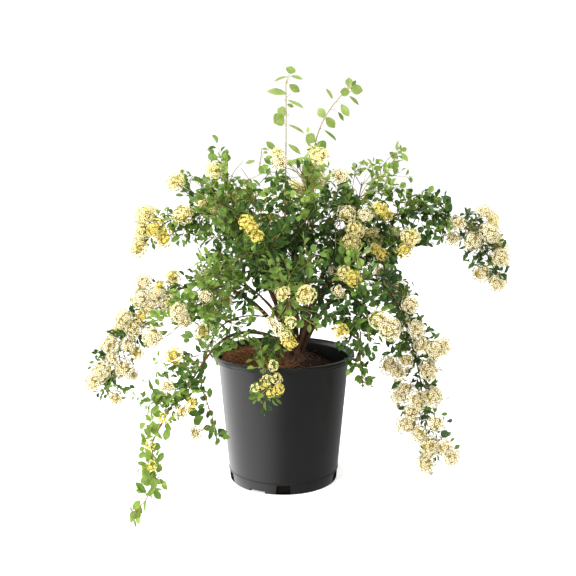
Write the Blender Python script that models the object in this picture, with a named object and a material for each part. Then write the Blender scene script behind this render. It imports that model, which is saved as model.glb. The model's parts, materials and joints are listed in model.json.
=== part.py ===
"""A potted bridal wreath spirea: thin canes rise from one clump, arch out and hang over the rim of a
round nursery pot, with small leaves and flat heads of blossom along them.

Metres, +Z up. The origin is under the middle of the pot's flat underside, and -Y is the front.
"""

import math
import random
from collections import namedtuple

import bpy
import numpy as np
from mathutils import Vector
from mathutils.bvhtree import BVHTree

GAP = 0.0003  # left between solids that touch
UP = Vector((0, 0, 1))

# The pot: a three gallon nursery container
POT_SIDES = 32
POT_HEIGHT = 0.255
LIP_RADIUS = 0.1405
LIP_BAND = 0.0065
LIP_WIDTH = 0.0065  # the lip's flat top
STEP_BAND = 0.0055
STEP_INSET = 0.003
BODY_TOP_RADIUS = 0.1292
BASE_RADIUS = 0.1069
BASE_CHAMFER = 0.0012
POT_WALL = 0.0024
FLOOR = 0.003
RING_HEIGHT = 0.020
RING_WIDTH = 0.003
RING_PROUD = 0.0012
DRAIN_HEADINGS = (270, 342, 54, 126, 198)
DRAIN_BOTTOM = 0.029
DRAIN_TOP = 0.025
DRAIN_HEIGHT = 0.019
DRAIN_SILL = 0.0012
DRAIN_DEPTH = 0.013

# The potting mix, level round the clump, heaped on the left and sunk on the right
SOIL_TOP = 0.236
SOIL_SIDES = 24
SOIL_RINGS = (0.72, 0.36, 0.0)
HEAP = 0.016
HEAP_MIDDLE = (-0.065, 0.0)
HEAP_WIDTH = 0.05
SINK = 0.020
SINK_FROM = 0.03
SINK_RUN = 0.07
MIX_LEVEL_RADIUS = 0.040
MIX_BLEND = 0.030

# The clump that the canes rise from
CLUMP = Vector((0.022, 0.015, SOIL_TOP + GAP))
CLUMP_PROFILE = ((0.0330, 0.0), (0.0265, 0.005), (0.0205, 0.013), (0.0185, 0.022), (0.0130, 0.030))
CLUMP_SIDES = 12
CLUMP_FLUTES = 5
CLUMP_FLUTE = 0.10
FOOT_SPREAD = 0.013
FOOT_DEPTH = 0.012
STUB = 0.062
STUB_SIDES = 5

# Canes and stems
CROWN_MIDDLE = Vector((0.02, 0.01, 0.36))
CURVE_STEPS = 96
WEAVE = 0.006
WEAVE_WAVES = 2.5
WEAVE_START = 4  # the weave is whole from this fraction of the cane on
CANE_TIP_RADIUS = 0.0012
GIRTH_FALL = 0.9
BOUGH_SIDES = 5
BOUGH_STEP = 0.045
LIMB_STEPS = 16
STEM_SIDES = 3
STEM_STEP = 0.045
RIM_STEM_BARE = 0.45  # share of a cane without a bough that bears nothing

# Twigs
GOLDEN_ANGLE = math.radians(137.5)
TWIG_RADIUS = 0.0014
TWIG_TIP_RADIUS = 0.0010
TWIG_TRIES = (1.0, 0.75, 0.5)
SHORT_TWIG = 0.055
TWIG_JITTER = 0.3
TWIG_FIRST = 0.04
TWIG_RUN = 0.94
TWIG_SPREAD = (42, 68)
TWIG_LENGTHS = (0.78, 1.0)
TWIG_LIFT = (0.1, 0.5)
MASS_END = 0.62
FLOWER_TURN = 75
FLOWER_LENGTH = 0.72

# Leaves and blossom
LEAF_LENGTH = 0.044
LEAF_WIDTH = 0.66
LEAF_WIDEST = 0.56
LEAF_RIB = 0.17
LEAF_THICKNESS = 0.0018
LEAF_SINK = 0.0010
LEAF_FIRST = 0.42
LEAF_RUN = 0.5
LEAF_FORWARD = 0.6
LEAF_OUTWARD = 0.8
LEAF_TILT = 0.5
LEAF_ROLL = 0.6
BRIGHT_LEAF = 0.9  # masses with smaller leaves than this are young and bright
LEAF_TRIES = 12
HEAD_TRIES = 12
TRY_SHRINK = 0.04
SIZES = (0.9, 1.1)
HEAD_RADIUS = 0.0195
HEAD_PROFILE = ((1.0, -0.12), (0.66, 0.42))
HEAD_SIDES = 6
HEAD_TILT = 0.5
LIGHT_ABOVE = 0.5
LIGHT_OUTSIDE = 0.6

# The room that each mass keeps to
SPACE_STEPS = 8
SPACE_MARGIN = 0.004
CELL_GAP = 0.0045
LIMB_CLEARANCE = 0.0012
FLOOR_CLEARANCE = 0.006
RIM_CLEARANCE = 0.004

SMOOTH_ANGLE = math.radians(35)

# A cane runs from the clump on its heading (degrees, 270 to the front) out to its reach, through a
# height halfway to the height of its tip. lean and hang bow its foot and its end, and bough is the
# share of it that is bare, where its foliage begins.
Cane = namedtuple("Cane", "name heading reach middle tip lean hang girth bough")
CANES = (
    Cane("left_arch", 190, 0.362, 0.390, 0.188, 0.20, 0.82, 0.0046, 0.36),
    Cane("left_high", 178, 0.300, 0.518, 0.445, 0.20, 0.72, 0.0044, 0.42),
    Cane("left_top", 164, 0.232, 0.500, 0.580, 0.28, 0.62, 0.0038, 0.50),
    Cane("left_front", 231, 0.402, 0.305, 0.045, 0.26, 0.76, 0.0040, 0.36),
    Cane("left_rim", 235, 0.230, 0.345, 0.125, 0.10, 1.76, 0.0026, 0.00),
    Cane("front_left", 217, 0.225, 0.398, 0.340, 0.22, 0.80, 0.0038, 0.36),
    Cane("front_sprig", 254, 0.188, 0.294, 0.208, 0.50, 1.05, 0.0026, 0.00),
    Cane("front_mid", 268, 0.205, 0.420, 0.375, 0.24, 0.80, 0.0036, 0.34),
    Cane("front_right", 303, 0.208, 0.405, 0.350, 0.24, 0.80, 0.0036, 0.34),
    Cane("right_rim", 313, 0.182, 0.335, 0.205, 0.42, 1.05, 0.0026, 0.00),
    Cane("right_low", 337, 0.262, 0.402, 0.068, 0.38, 0.88, 0.0046, 0.36),
    Cane("right_mid", 347, 0.205, 0.435, 0.455, 0.28, 0.75, 0.0030, 0.00),
    Cane("right_arch", 2, 0.396, 0.530, 0.385, 0.26, 0.80, 0.0048, 0.27),
    Cane("right_top", 24, 0.215, 0.505, 0.640, 0.30, 0.62, 0.0036, 0.50),
    Cane("top_left", 180, 0.004, 0.530, 0.777, 3.00, 0.50, 0.0030, 0.66),
    Cane("top_right", 345, 0.098, 0.616, 0.769, 0.58, -0.28, 0.0034, 0.70),
    Cane("crown_left", 200, 0.125, 0.430, 0.600, 0.28, 0.75, 0.0036, 0.40),
    Cane("crown_mid", 284, 0.095, 0.450, 0.615, 0.30, 0.75, 0.0036, 0.46),
    Cane("crown_right", 331, 0.130, 0.440, 0.590, 0.28, 0.75, 0.0036, 0.42),
    Cane("crown_front", 246, 0.150, 0.425, 0.490, 0.25, 0.75, 0.0036, 0.40),
    Cane("back_left_high", 139, 0.235, 0.480, 0.535, 0.25, 0.70, 0.0036, 0.42),
    Cane("back_left_arch", 122, 0.320, 0.430, 0.250, 0.22, 0.85, 0.0042, 0.36),
    Cane("back_crown", 82, 0.110, 0.450, 0.615, 0.30, 0.75, 0.0036, 0.44),
    Cane("back_arch", 97, 0.325, 0.445, 0.270, 0.22, 0.85, 0.0042, 0.36),
    Cane("back_right_high", 56, 0.235, 0.475, 0.540, 0.25, 0.70, 0.0036, 0.42),
    Cane("back_right_arch", 45, 0.340, 0.435, 0.240, 0.24, 0.85, 0.0042, 0.36),
)

# A mass of foliage fills one stretch of its cane, up to the share end, within reach of it. heads of its
# twigs bear blossom, leaf is its leaves' size and bushy is the most leaves on a twig.
Mass = namedtuple("Mass", "name cane end reach twigs heads leaf bushy")
MASSES = (
    Mass("left_arch_near", "left_arch", 0.66, 0.055, 7, 5, 0.85, 2),
    Mass("left_arch_tip", "left_arch", 1.00, 0.050, 8, 7, 0.75, 2),
    Mass("left_high_near", "left_high", 0.74, 0.065, 7, 2, 1.00, 2),
    Mass("left_high_tip", "left_high", 1.00, 0.050, 7, 6, 0.75, 2),
    Mass("left_top", "left_top", 1.00, 0.062, 7, 2, 0.95, 2),
    Mass("left_front_upper", "left_front", 0.68, 0.062, 8, 3, 0.90, 2),
    Mass("left_front_lower", "left_front", 1.00, 0.045, 7, 1, 0.80, 2),
    Mass("left_rim", "left_rim", 1.00, 0.045, 5, 1, 0.85, 2),
    Mass("front_left", "front_left", 1.00, 0.088, 9, 1, 1.10, 3),
    Mass("front_sprig", "front_sprig", 1.00, 0.042, 5, 3, 0.75, 2),
    Mass("front_mid", "front_mid", 1.00, 0.082, 9, 4, 1.05, 3),
    Mass("front_right", "front_right", 1.00, 0.082, 9, 4, 1.05, 3),
    Mass("right_rim", "right_rim", 1.00, 0.042, 5, 0, 0.85, 2),
    Mass("right_low_near", "right_low", 0.64, 0.060, 7, 4, 0.90, 2),
    Mass("right_low_tip", "right_low", 1.00, 0.050, 9, 8, 0.75, 2),
    Mass("right_mid", "right_mid", 1.00, 0.065, 8, 3, 1.00, 3),
    Mass("right_arch_near", "right_arch", 0.72, 0.060, 8, 3, 0.90, 2),
    Mass("right_arch_tip", "right_arch", 1.00, 0.050, 8, 7, 0.75, 2),
    Mass("right_top", "right_top", 1.00, 0.055, 7, 1, 0.85, 2),
    Mass("top_left", "top_left", 1.00, 0.034, 6, 0, 0.75, 1),
    Mass("top_right", "top_right", 1.00, 0.040, 6, 0, 0.75, 2),
    Mass("crown_left", "crown_left", 1.00, 0.088, 9, 2, 1.15, 3),
    Mass("crown_mid", "crown_mid", 1.00, 0.085, 9, 2, 1.15, 3),
    Mass("crown_right", "crown_right", 1.00, 0.088, 9, 3, 1.15, 3),
    Mass("crown_front", "crown_front", 1.00, 0.085, 9, 2, 1.15, 3),
    Mass("back_left_high", "back_left_high", 1.00, 0.085, 7, 2, 1.15, 2),
    Mass("back_left_near", "back_left_arch", 0.68, 0.075, 7, 3, 1.05, 2),
    Mass("back_left_tip", "back_left_arch", 1.00, 0.052, 7, 5, 0.85, 2),
    Mass("back_crown", "back_crown", 1.00, 0.088, 8, 2, 1.15, 2),
    Mass("back_near", "back_arch", 0.68, 0.075, 7, 2, 1.05, 2),
    Mass("back_tip", "back_arch", 1.00, 0.052, 6, 4, 0.85, 2),
    Mass("back_right_high", "back_right_high", 1.00, 0.085, 7, 2, 1.15, 2),
    Mass("back_right_near", "back_right_arch", 0.68, 0.075, 7, 3, 1.05, 2),
    Mass("back_right_tip", "back_right_arch", 1.00, 0.052, 6, 4, 0.85, 2),
)

# Colours of the plant's parts
POT_BLACK = (0.030, 0.032, 0.034, 1)
MIX_BROWN = (0.110, 0.058, 0.030, 1)
BARK_BROWN = (0.095, 0.052, 0.036, 1)
LEAF_DARK = (0.060, 0.130, 0.030, 1)
LEAF_BRIGHT = (0.180, 0.290, 0.060, 1)
BLOSSOM_CREAM = (0.700, 0.620, 0.330, 1)


# Materials

def material(name, colour, roughness):
    made = bpy.data.materials.new(name)
    made.use_nodes = True
    shader = made.node_tree.nodes["Principled BSDF"]
    shader.inputs["Base Color"].default_value = colour
    shader.inputs["Roughness"].default_value = roughness
    shader.inputs["Metallic"].default_value = 0.0
    made.diffuse_color = colour
    return made


# Meshes as lists of points and faces

def solid(name, points, faces, finish):
    mesh = bpy.data.meshes.new(name)
    mesh.from_pydata([tuple(point) for point in points], [], faces)
    mesh.materials.append(finish)
    mesh.shade_smooth()
    mesh.set_sharp_from_angle(angle=SMOOTH_ANGLE)
    made = bpy.data.objects.new(name, mesh)
    bpy.context.scene.collection.objects.link(made)
    return made


def turned(profile, sides):
    """The closed surface that a profile of (radius, height) makes as it turns about the Z axis. A radius
    of zero is one point on the axis."""
    points = []
    rings = []
    for radius, height in profile:
        count = sides if radius > 0 else 1
        rings.append(range(len(points), len(points) + count))
        for side in range(count):
            angle = math.tau * side / sides
            points.append((radius * math.cos(angle), radius * math.sin(angle), height))
    faces = []
    for low, high in zip(rings, rings[1:] + rings[:1]):
        if len(low) == 1 and len(high) == 1:
            continue
        for side in range(sides):
            after = (side + 1) % sides
            face = [low[side % len(low)], low[after % len(low)],
                    high[after % len(high)], high[side % len(high)]]
            faces.append(tuple(dict.fromkeys(face)))
    return points, faces


def rings_to_faces(rings, sides):
    """Quads between rings of points, with a flat cap at each end."""
    faces = []
    for low, high in zip(rings, rings[1:]):
        for side in range(sides):
            after = (side + 1) % sides
            faces.append((low + side, low + after, high + after, high + side))
    faces.append(tuple(rings[0] + side for side in reversed(range(sides))))
    faces.append(tuple(rings[-1] + side for side in range(sides)))
    return faces


def tube(curve, start, end, steps, sides, radius):
    """A tube along a curve from share start to share end of its length, with radius(share)."""
    points = []
    rings = []
    across = None
    for step in range(steps + 1):
        share = start + (end - start) * step / steps
        centre, tangent = on_curve(curve, share)
        if across is None:
            across = tangent.orthogonal()
        across = (across - tangent * across.dot(tangent)).normalized()
        other = tangent.cross(across)
        rings.append(len(points))
        for side in range(sides):
            angle = math.tau * side / sides
            points.append(centre + (across * math.cos(angle) + other * math.sin(angle)) * radius(share))
    return points, rings_to_faces(rings, sides)


# Curves as arrays of evenly spaced points

def bezier(a, b, c, d, t):
    s = 1 - t
    return a * s ** 3 + 3 * b * s * s * t + 3 * c * s * t * t + d * t ** 3


def even_curve(points, steps):
    points = np.array(points)
    lengths = np.linalg.norm(np.diff(points, axis=0), axis=1)
    along = np.concatenate([[0], np.cumsum(lengths)])
    wanted = np.linspace(0, along[-1], steps + 1)
    return np.stack([np.interp(wanted, along, points[:, axis]) for axis in range(3)], axis=1)


def length_of(curve):
    return float(np.linalg.norm(np.diff(curve, axis=0), axis=1).sum())


def on_curve(curve, share):
    """The point and the direction at a share of the curve's length."""
    steps = len(curve) - 1
    place = min(max(share, 0.0), 1.0) * steps
    before = min(int(place), steps - 1)
    point = curve[before] + (curve[before + 1] - curve[before]) * (place - before)
    low = max(before - 1, 0)
    high = min(before + 2, steps)
    return Vector(point), Vector(curve[high] - curve[low]).normalized()


def cane_curve(cane):
    """A cane's middle line: an arch in the upright plane of its heading, with a slight weave."""
    foot_height = CLUMP.z + FOOT_DEPTH
    rise = (cane.middle - (foot_height + cane.tip) / 8) / 0.75
    phase = random.Random(cane.name).uniform(0, math.tau)
    heading = math.radians(cane.heading)
    foot = Vector((CLUMP.x + FOOT_SPREAD * math.cos(heading), CLUMP.y + FOOT_SPREAD * math.sin(heading), 0))
    points = []
    for step in range(CURVE_STEPS + 1):
        t = step / CURVE_STEPS
        out = bezier(0, cane.lean * cane.reach, cane.hang * cane.reach, cane.reach, t)
        wave = math.sin(WEAVE_WAVES * math.tau * t + phase)
        weave = WEAVE * wave * min(1, WEAVE_START * t) * (1 - t / 2)
        points.append((
            foot.x + out * math.cos(heading) - weave * math.sin(heading),
            foot.y + out * math.sin(heading) + weave * math.cos(heading),
            bezier(foot_height, rise, rise, cane.tip, t),
        ))
    return even_curve(points, CURVE_STEPS)


def cane_radius(cane):
    return lambda share: CANE_TIP_RADIUS + (cane.girth - CANE_TIP_RADIUS) * max(0, 1 - share) ** GIRTH_FALL


# The pot and its mix

def wall_radius(height):
    """The outer radius of the pot's tapering body at a height."""
    body_top = POT_HEIGHT - LIP_BAND - STEP_BAND
    return BASE_RADIUS + (BODY_TOP_RADIUS - BASE_RADIUS) * height / body_top


def pot_profile():
    lip_foot = POT_HEIGHT - LIP_BAND
    body_top = lip_foot - STEP_BAND
    step_radius = LIP_RADIUS - STEP_INSET
    ring_top = RING_HEIGHT + RING_WIDTH
    round_off = POT_WALL / 3
    return (
        (0, 0),
        (BASE_RADIUS - BASE_CHAMFER, 0),
        (BASE_RADIUS, BASE_CHAMFER),
        (wall_radius(RING_HEIGHT), RING_HEIGHT),
        (wall_radius(RING_HEIGHT) + RING_PROUD, RING_HEIGHT + RING_PROUD),
        (wall_radius(ring_top), ring_top),
        (wall_radius(body_top), body_top),
        (step_radius, body_top),
        (step_radius, lip_foot),
        (LIP_RADIUS, lip_foot),
        (LIP_RADIUS, POT_HEIGHT - round_off),
        (LIP_RADIUS - round_off, POT_HEIGHT),
        (LIP_RADIUS - LIP_WIDTH, POT_HEIGHT),
        (LIP_RADIUS - LIP_WIDTH, lip_foot),
        (wall_radius(body_top) - POT_WALL, body_top + POT_WALL),
        (wall_radius(FLOOR) - POT_WALL, FLOOR),
        (0, FLOOR),
    )


def drain_cutter(name, heading):
    """A trapezoid block that stands across the foot of the pot's wall at a heading."""
    points = []
    for out in (BASE_RADIUS - DRAIN_DEPTH, BASE_RADIUS + DRAIN_DEPTH):
        for width, height in ((DRAIN_BOTTOM, DRAIN_SILL), (DRAIN_TOP, DRAIN_HEIGHT)):
            points.append((out, -width / 2, height))
            points.append((out, width / 2, height))
    faces = [(0, 2, 3, 1), (4, 5, 7, 6), (0, 1, 5, 4), (2, 6, 7, 3), (0, 4, 6, 2), (1, 3, 7, 5)]
    mesh = bpy.data.meshes.new(name)
    mesh.from_pydata(points, [], faces)
    cutter = bpy.data.objects.new(name, mesh)
    cutter.rotation_euler.z = math.radians(heading)
    cutter.hide_render = True
    cutter.display_type = "WIRE"
    return cutter


def make_pot():
    points, faces = turned(pot_profile(), POT_SIDES)
    pot = solid("pot", points, faces, material("black_plastic", POT_BLACK, 0.45))
    holder = bpy.data.collections.new("pot_cutters")
    bpy.context.scene.collection.children.link(holder)
    for index, heading in enumerate(DRAIN_HEADINGS):
        holder.objects.link(drain_cutter(f"drain_cutter_{index}", heading))
    cut = pot.modifiers.new("drains", "BOOLEAN")
    cut.operation = "DIFFERENCE"
    cut.operand_type = "COLLECTION"
    cut.collection = holder
    cut.solver = "EXACT"
    apply_modifiers(pot)
    drop_collection(holder)
    return pot


def mix_height(x, y):
    """The height of the potting mix: level at the clump, heaped to the left, sunk to the right."""
    off_clump = math.hypot(x - CLUMP.x, y - CLUMP.y)
    off_heap = math.hypot(x - HEAP_MIDDLE[0], y - HEAP_MIDDLE[1])
    free = min(1, max(0, (off_clump - MIX_LEVEL_RADIUS) / MIX_BLEND))
    heap = HEAP * math.exp(-(off_heap / HEAP_WIDTH) ** 2)
    sink = SINK * min(1, max(0, (x - SINK_FROM) / SINK_RUN))
    return SOIL_TOP + free * (heap - sink)


def make_mix():
    bottom = FLOOR + GAP
    floor_radius = wall_radius(FLOOR) - POT_WALL - GAP * 2
    top_radius = wall_radius(SOIL_TOP - SINK) - POT_WALL - GAP * 5
    points = [(0, 0, bottom)]
    rings = []
    stations = [(1.0, bottom), (1.0, None)] + [(share, None) for share in SOIL_RINGS]
    for share, height in stations:
        rings.append(len(points))
        for side in range(SOIL_SIDES):
            angle = math.tau * side / SOIL_SIDES
            edge = floor_radius if height else top_radius
            radius = MIX_LEVEL_RADIUS + (edge - MIX_LEVEL_RADIUS) * share
            x = CLUMP.x * (1 - share) + radius * math.cos(angle)
            y = CLUMP.y * (1 - share) + radius * math.sin(angle)
            points.append((x, y, height or mix_height(x, y)))
    faces = rings_to_faces(rings, SOIL_SIDES)
    bottom_cap = faces[-2]
    faces[-2:-1] = [(0, bottom_cap[i], bottom_cap[(i + 1) % SOIL_SIDES]) for i in range(SOIL_SIDES)]
    return solid("potting_mix", points, faces, material("coir_mix", MIX_BROWN, 0.95))


# Joining shapes

def apply_modifiers(owner):
    graph = bpy.context.evaluated_depsgraph_get()
    mesh = bpy.data.meshes.new_from_object(owner.evaluated_get(graph))
    owner.modifiers.clear()
    old = owner.data
    owner.data = mesh
    bpy.data.meshes.remove(old)


def drop_collection(holder):
    for helper in list(holder.objects):
        mesh = helper.data
        bpy.data.objects.remove(helper)
        bpy.data.meshes.remove(mesh)
    bpy.data.collections.remove(holder)


def largest_piece(mesh):
    """The points and faces of a mesh's largest piece, by faces that share edges, so that loose scrap and
    sealed hollows go. None where there is only one piece."""
    parent = list(range(len(mesh.polygons)))

    def root(face):
        while parent[face] != face:
            parent[face] = parent[parent[face]]
            face = parent[face]
        return face

    sharing = {}
    for face in mesh.polygons:
        for edge in face.edge_keys:
            parent[root(face.index)] = root(sharing.setdefault(edge, face.index))
    pieces = {}
    for face in mesh.polygons:
        pieces.setdefault(root(face.index), []).append(face)
    if len(pieces) == 1:
        return None

    def spread(faces):
        places = np.array([mesh.vertices[vertex].co for face in faces for vertex in face.vertices])
        return float(np.ptp(places, axis=0).sum())

    kept = max(pieces.values(), key=spread)
    used = sorted({vertex for face in kept for vertex in face.vertices})
    renamed = {vertex: place for place, vertex in enumerate(used)}
    points = [tuple(mesh.vertices[vertex].co) for vertex in used]
    faces = [tuple(renamed[vertex] for vertex in face.vertices) for face in kept]
    return points, faces


def fuse(name, pieces, finish):
    """One body out of overlapping closed shapes: a Boolean union of the first with all the rest."""
    body = solid(name, *pieces[0], finish)
    holder = bpy.data.collections.new(name + "_pieces")
    bpy.context.scene.collection.children.link(holder)
    for index, (points, faces) in enumerate(pieces[1:]):
        mesh = bpy.data.meshes.new(f"{name}_{index}")
        mesh.from_pydata([tuple(point) for point in points], [], faces)
        holder.objects.link(bpy.data.objects.new(f"{name}_{index}", mesh))
    join = body.modifiers.new("union", "BOOLEAN")
    join.operation = "UNION"
    join.operand_type = "COLLECTION"
    join.collection = holder
    join.solver = "EXACT"
    apply_modifiers(body)
    drop_collection(holder)
    kept = largest_piece(body.data)
    if kept:
        bpy.data.objects.remove(body)
        body = solid(name, *kept, finish)
    body.data.shade_smooth()
    body.data.set_sharp_from_angle(angle=SMOOTH_ANGLE)
    return body


# The clump and the boughs

def clump_shape():
    points = []
    rings = []
    for radius, height in CLUMP_PROFILE:
        rings.append(len(points))
        for side in range(CLUMP_SIDES):
            angle = math.tau * side / CLUMP_SIDES
            fluted = radius * (1 + CLUMP_FLUTE * math.cos(CLUMP_FLUTES * angle))
            points.append(CLUMP + Vector((fluted * math.cos(angle), fluted * math.sin(angle), height)))
    return points, rings_to_faces(rings, CLUMP_SIDES)


def stub_share(curve):
    return STUB / length_of(curve)


def make_clump(curves, finish):
    """The flared woody clump, with the foot of every cane fused to it."""
    pieces = [clump_shape()]
    for cane in CANES:
        curve = curves[cane.name]
        pieces.append(tube(curve, 0, stub_share(curve), 1, STUB_SIDES, cane_radius(cane)))
    return fuse("clump", pieces, finish)


def make_bough(cane, curve, finish):
    start = stub_share(curve) + GAP / length_of(curve)
    steps = max(3, round((cane.bough - start) * length_of(curve) / BOUGH_STEP))
    points, faces = tube(curve, start, cane.bough, steps, BOUGH_SIDES, cane_radius(cane))
    return solid("bough_" + cane.name, points, faces, finish)


# Foliage

Stem = namedtuple("Stem", "mass cane curve start end")


def stems_of(curves):
    """Each mass's own stretch of its cane."""
    stems = []
    last = None
    for mass in MASSES:
        cane = next(cane for cane in CANES if cane.name == mass.cane)
        curve = curves[cane.name]
        gap = GAP / length_of(curve)
        if last and last.cane is cane:
            start = last.end + gap
        elif cane.bough:
            start = cane.bough + gap
        else:
            start = stub_share(curve) + gap
        last = Stem(mass, cane, curve, start, mass.end)
        stems.append(last)
    return stems


def leaf_share(stem):
    """Where leaves begin on a stem: one with no bough is bare till it nears the rim."""
    return stem.start if stem.cane.bough else RIM_STEM_BARE


def stem_tube(stem, extra=0.0):
    radius = cane_radius(stem.cane)
    steps = max(4, round((stem.end - stem.start) * length_of(stem.curve) / STEM_STEP))
    return tube(stem.curve, stem.start, stem.end, steps, STEM_SIDES, lambda share: radius(share) + extra)


def outward(tangent, roll):
    """A direction square to the tangent: level at roll 0, and to the light at a quarter turn."""
    level = tangent.cross(UP)
    if level.length < 0.15:
        level = tangent.orthogonal()
    level.normalize()
    return level * math.cos(roll) + level.cross(tangent) * math.sin(roll)


def fullness(along):
    """How much of a mass's reach its twigs take up at a place along it, most just before its middle."""
    return MASS_END + (1 - MASS_END) * math.sin(math.pi * min(1, along * 0.9 + 0.15))


Twig = namedtuple("Twig", "base points flowers")


def twigs_of(stem):
    """The seeded rule for a mass's twigs: turned by the golden angle along the stem, each bent up to
    the light. Those that flower stand on the stem's upper side and are shorter."""
    mass = stem.mass
    rng = random.Random(mass.name + " twigs")
    first = leaf_share(stem)
    flowering = set(rng.sample(range(mass.twigs), mass.heads))
    turn = rng.uniform(0, math.tau)
    twigs = []
    for index in range(mass.twigs):
        along = (index + 0.5 + rng.uniform(-TWIG_JITTER, TWIG_JITTER)) / mass.twigs
        share = first + (stem.end - first) * (TWIG_FIRST + TWIG_RUN * along)
        base, tangent = on_curve(stem.curve, share)
        roll = turn + index * GOLDEN_ANGLE
        if index in flowering:
            roll = math.radians(90 + FLOWER_TURN * math.sin(roll))
        spread = math.radians(rng.uniform(*TWIG_SPREAD))
        way = tangent * math.cos(spread) + outward(tangent, roll) * math.sin(spread)
        length = mass.reach * fullness(along) * rng.uniform(*TWIG_LENGTHS)
        lift = rng.uniform(*TWIG_LIFT) * length
        if index in flowering:
            length *= FLOWER_LENGTH
        points = [base + way * length * step + UP * lift * step * step for step in (0, 0.5, 1)]
        twigs.append(Twig(base, points, index in flowering))
    return twigs


def leaf_shape(root, way, face, length):
    """A flat blade with a raised midrib: root, two sides, tip, and the rib's highest point."""
    side = way.cross(face)
    wide = root + way * length * LEAF_WIDEST
    points = [
        root - way * LEAF_SINK,
        wide - side * length * LEAF_WIDTH / 2,
        root + way * length,
        wide + side * length * LEAF_WIDTH / 2,
        root + way * length * LEAF_RIB + face * LEAF_THICKNESS,
    ]
    faces = [(0, 1, 2, 3), (1, 0, 4), (2, 1, 4), (3, 2, 4), (0, 3, 4)]
    return points, faces


def head_shape(centre, axis, radius):
    """A low dome of blossom: a flat underside, a wide rim and a smaller flat top."""
    side = axis.orthogonal().normalized()
    other = axis.cross(side)
    points = []
    for share, lift in HEAD_PROFILE:
        for corner in range(HEAD_SIDES):
            angle = math.tau * corner / HEAD_SIDES
            round_the_axis = side * math.cos(angle) + other * math.sin(angle)
            points.append(centre + round_the_axis * radius * share + axis * radius * lift)
    return points, rings_to_faces([0, HEAD_SIDES], HEAD_SIDES)


class Room:
    """The space that each mass keeps to, and the limbs and the pot that it keeps clear of."""

    def __init__(self, stems, limbs, others):
        places, reaches, owners = [], [], []
        for stem in stems:
            first = leaf_share(stem)
            for step in range(SPACE_STEPS + 1):
                share = first + (stem.end - first) * step / SPACE_STEPS
                places.append(on_curve(stem.curve, share)[0])
                reaches.append(stem.mass.reach)
                owners.append(stem.mass.name)
        self.places = np.array(places)
        self.reaches = np.array(reaches)
        self.owners = np.array(owners)
        self.limbs = limbs
        self.others = others

    def inside(self, owner, points):
        points = np.array([tuple(point) for point in points])
        if points[:, 2].min() < FLOOR_CLEARANCE:
            return False
        from_axis = np.hypot(points[:, 0], points[:, 1])
        over_pot = from_axis < LIP_RADIUS + RIM_CLEARANCE
        if (over_pot & (points[:, 2] < POT_HEIGHT + RIM_CLEARANCE)).any():
            return False
        away = np.linalg.norm(points[:, None] - self.places[None], axis=2) - self.reaches
        own = away[:, self.owners == owner].min(axis=1)
        rest = away[:, self.owners != owner].min(axis=1)
        return bool((own <= SPACE_MARGIN).all() and (own + CELL_GAP <= rest).all())

    def clear(self, owner, tree):
        for name, limb in self.limbs.items():
            if name != owner and tree.overlap(limb):
                return False
        return not any(tree.overlap(other) for other in self.others)


def shape_tree(shape):
    return BVHTree.FromPolygons([tuple(point) for point in shape[0]], shape[1])


class Spray:
    """The pieces of one mass: its stem, and the twigs, leaves and blossom that found room."""

    def __init__(self, stem, room):
        self.stem = stem
        self.room = room
        self.pieces = [stem_tube(stem)]
        self.parts = [("stem", shape_tree(self.pieces[0]))]

    def add(self, shape, label, carriers, free_points):
        """Keeps the shape if it stays in the mass's space and touches only what carries it."""
        name = self.stem.mass.name
        if not self.room.inside(name, free_points):
            return False
        tree = shape_tree(shape)
        if not self.room.clear(name, tree):
            return False
        for other, placed in self.parts:
            if other not in carriers and tree.overlap(placed):
                return False
        self.pieces.append(shape)
        self.parts.append((label, tree))
        return True


def light_from(place):
    """Where the light comes from at a place: from above, and from outside the crown."""
    away = (place - CROWN_MIDDLE).normalized()
    return UP * LIGHT_ABOVE + away * LIGHT_OUTSIDE


def nudged(direction, rng, most):
    """The direction moved by up to most along each axis."""
    return direction + Vector([rng.uniform(-most, most) for axis in range(3)])


def add_leaf(spray, carriers, root, way, rng):
    """Adds one leaf where it fits, turned a little for each new try."""
    for attempt in range(LEAF_TRIES):
        tilted = nudged(way, rng, LEAF_TILT).normalized()
        face = nudged(light_from(root), rng, LEAF_ROLL)
        face = (face - tilted * face.dot(tilted)).normalized()
        size = rng.uniform(*SIZES) * (1 - TRY_SHRINK * attempt)
        length = LEAF_LENGTH * spray.stem.mass.leaf * size
        shape = leaf_shape(root, tilted, face, length)
        if spray.add(shape, "leaf", carriers, shape[0][1:]):
            return


def add_head(spray, twig, label, rng):
    """Adds a head of blossom at the twig's end, facing out and up, and returns whether it found room."""
    end = twig.points[-1]
    out = (end - twig.base).normalized() / 2 + light_from(end)
    for attempt in range(HEAD_TRIES):
        axis = nudged(out, rng, HEAD_TILT).normalized()
        size = rng.uniform(*SIZES) * (1 - TRY_SHRINK * attempt)
        shape = head_shape(end, axis, HEAD_RADIUS * size)
        if spray.add(shape, "head", (label,), shape[0]):
            return True
    return False


def add_twig(spray, twig, label):
    """Adds a twig at its full length, or shorter where it has less room. Returns the twig that fits."""
    for shorter in TWIG_TRIES:
        points = [twig.base + (point - twig.base) * shorter for point in twig.points]
        curve = np.array([tuple(point) for point in points])
        steps = 1 if length_of(curve) < SHORT_TWIG else 2
        radius = lambda share: TWIG_RADIUS + (TWIG_TIP_RADIUS - TWIG_RADIUS) * share
        shape = tube(curve, 0, 1, steps, STEM_SIDES, radius)
        if spray.add(shape, label, ("stem",), shape[0][STEM_SIDES:]):
            return Twig(twig.base, points, twig.flowers)
    return None


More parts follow.
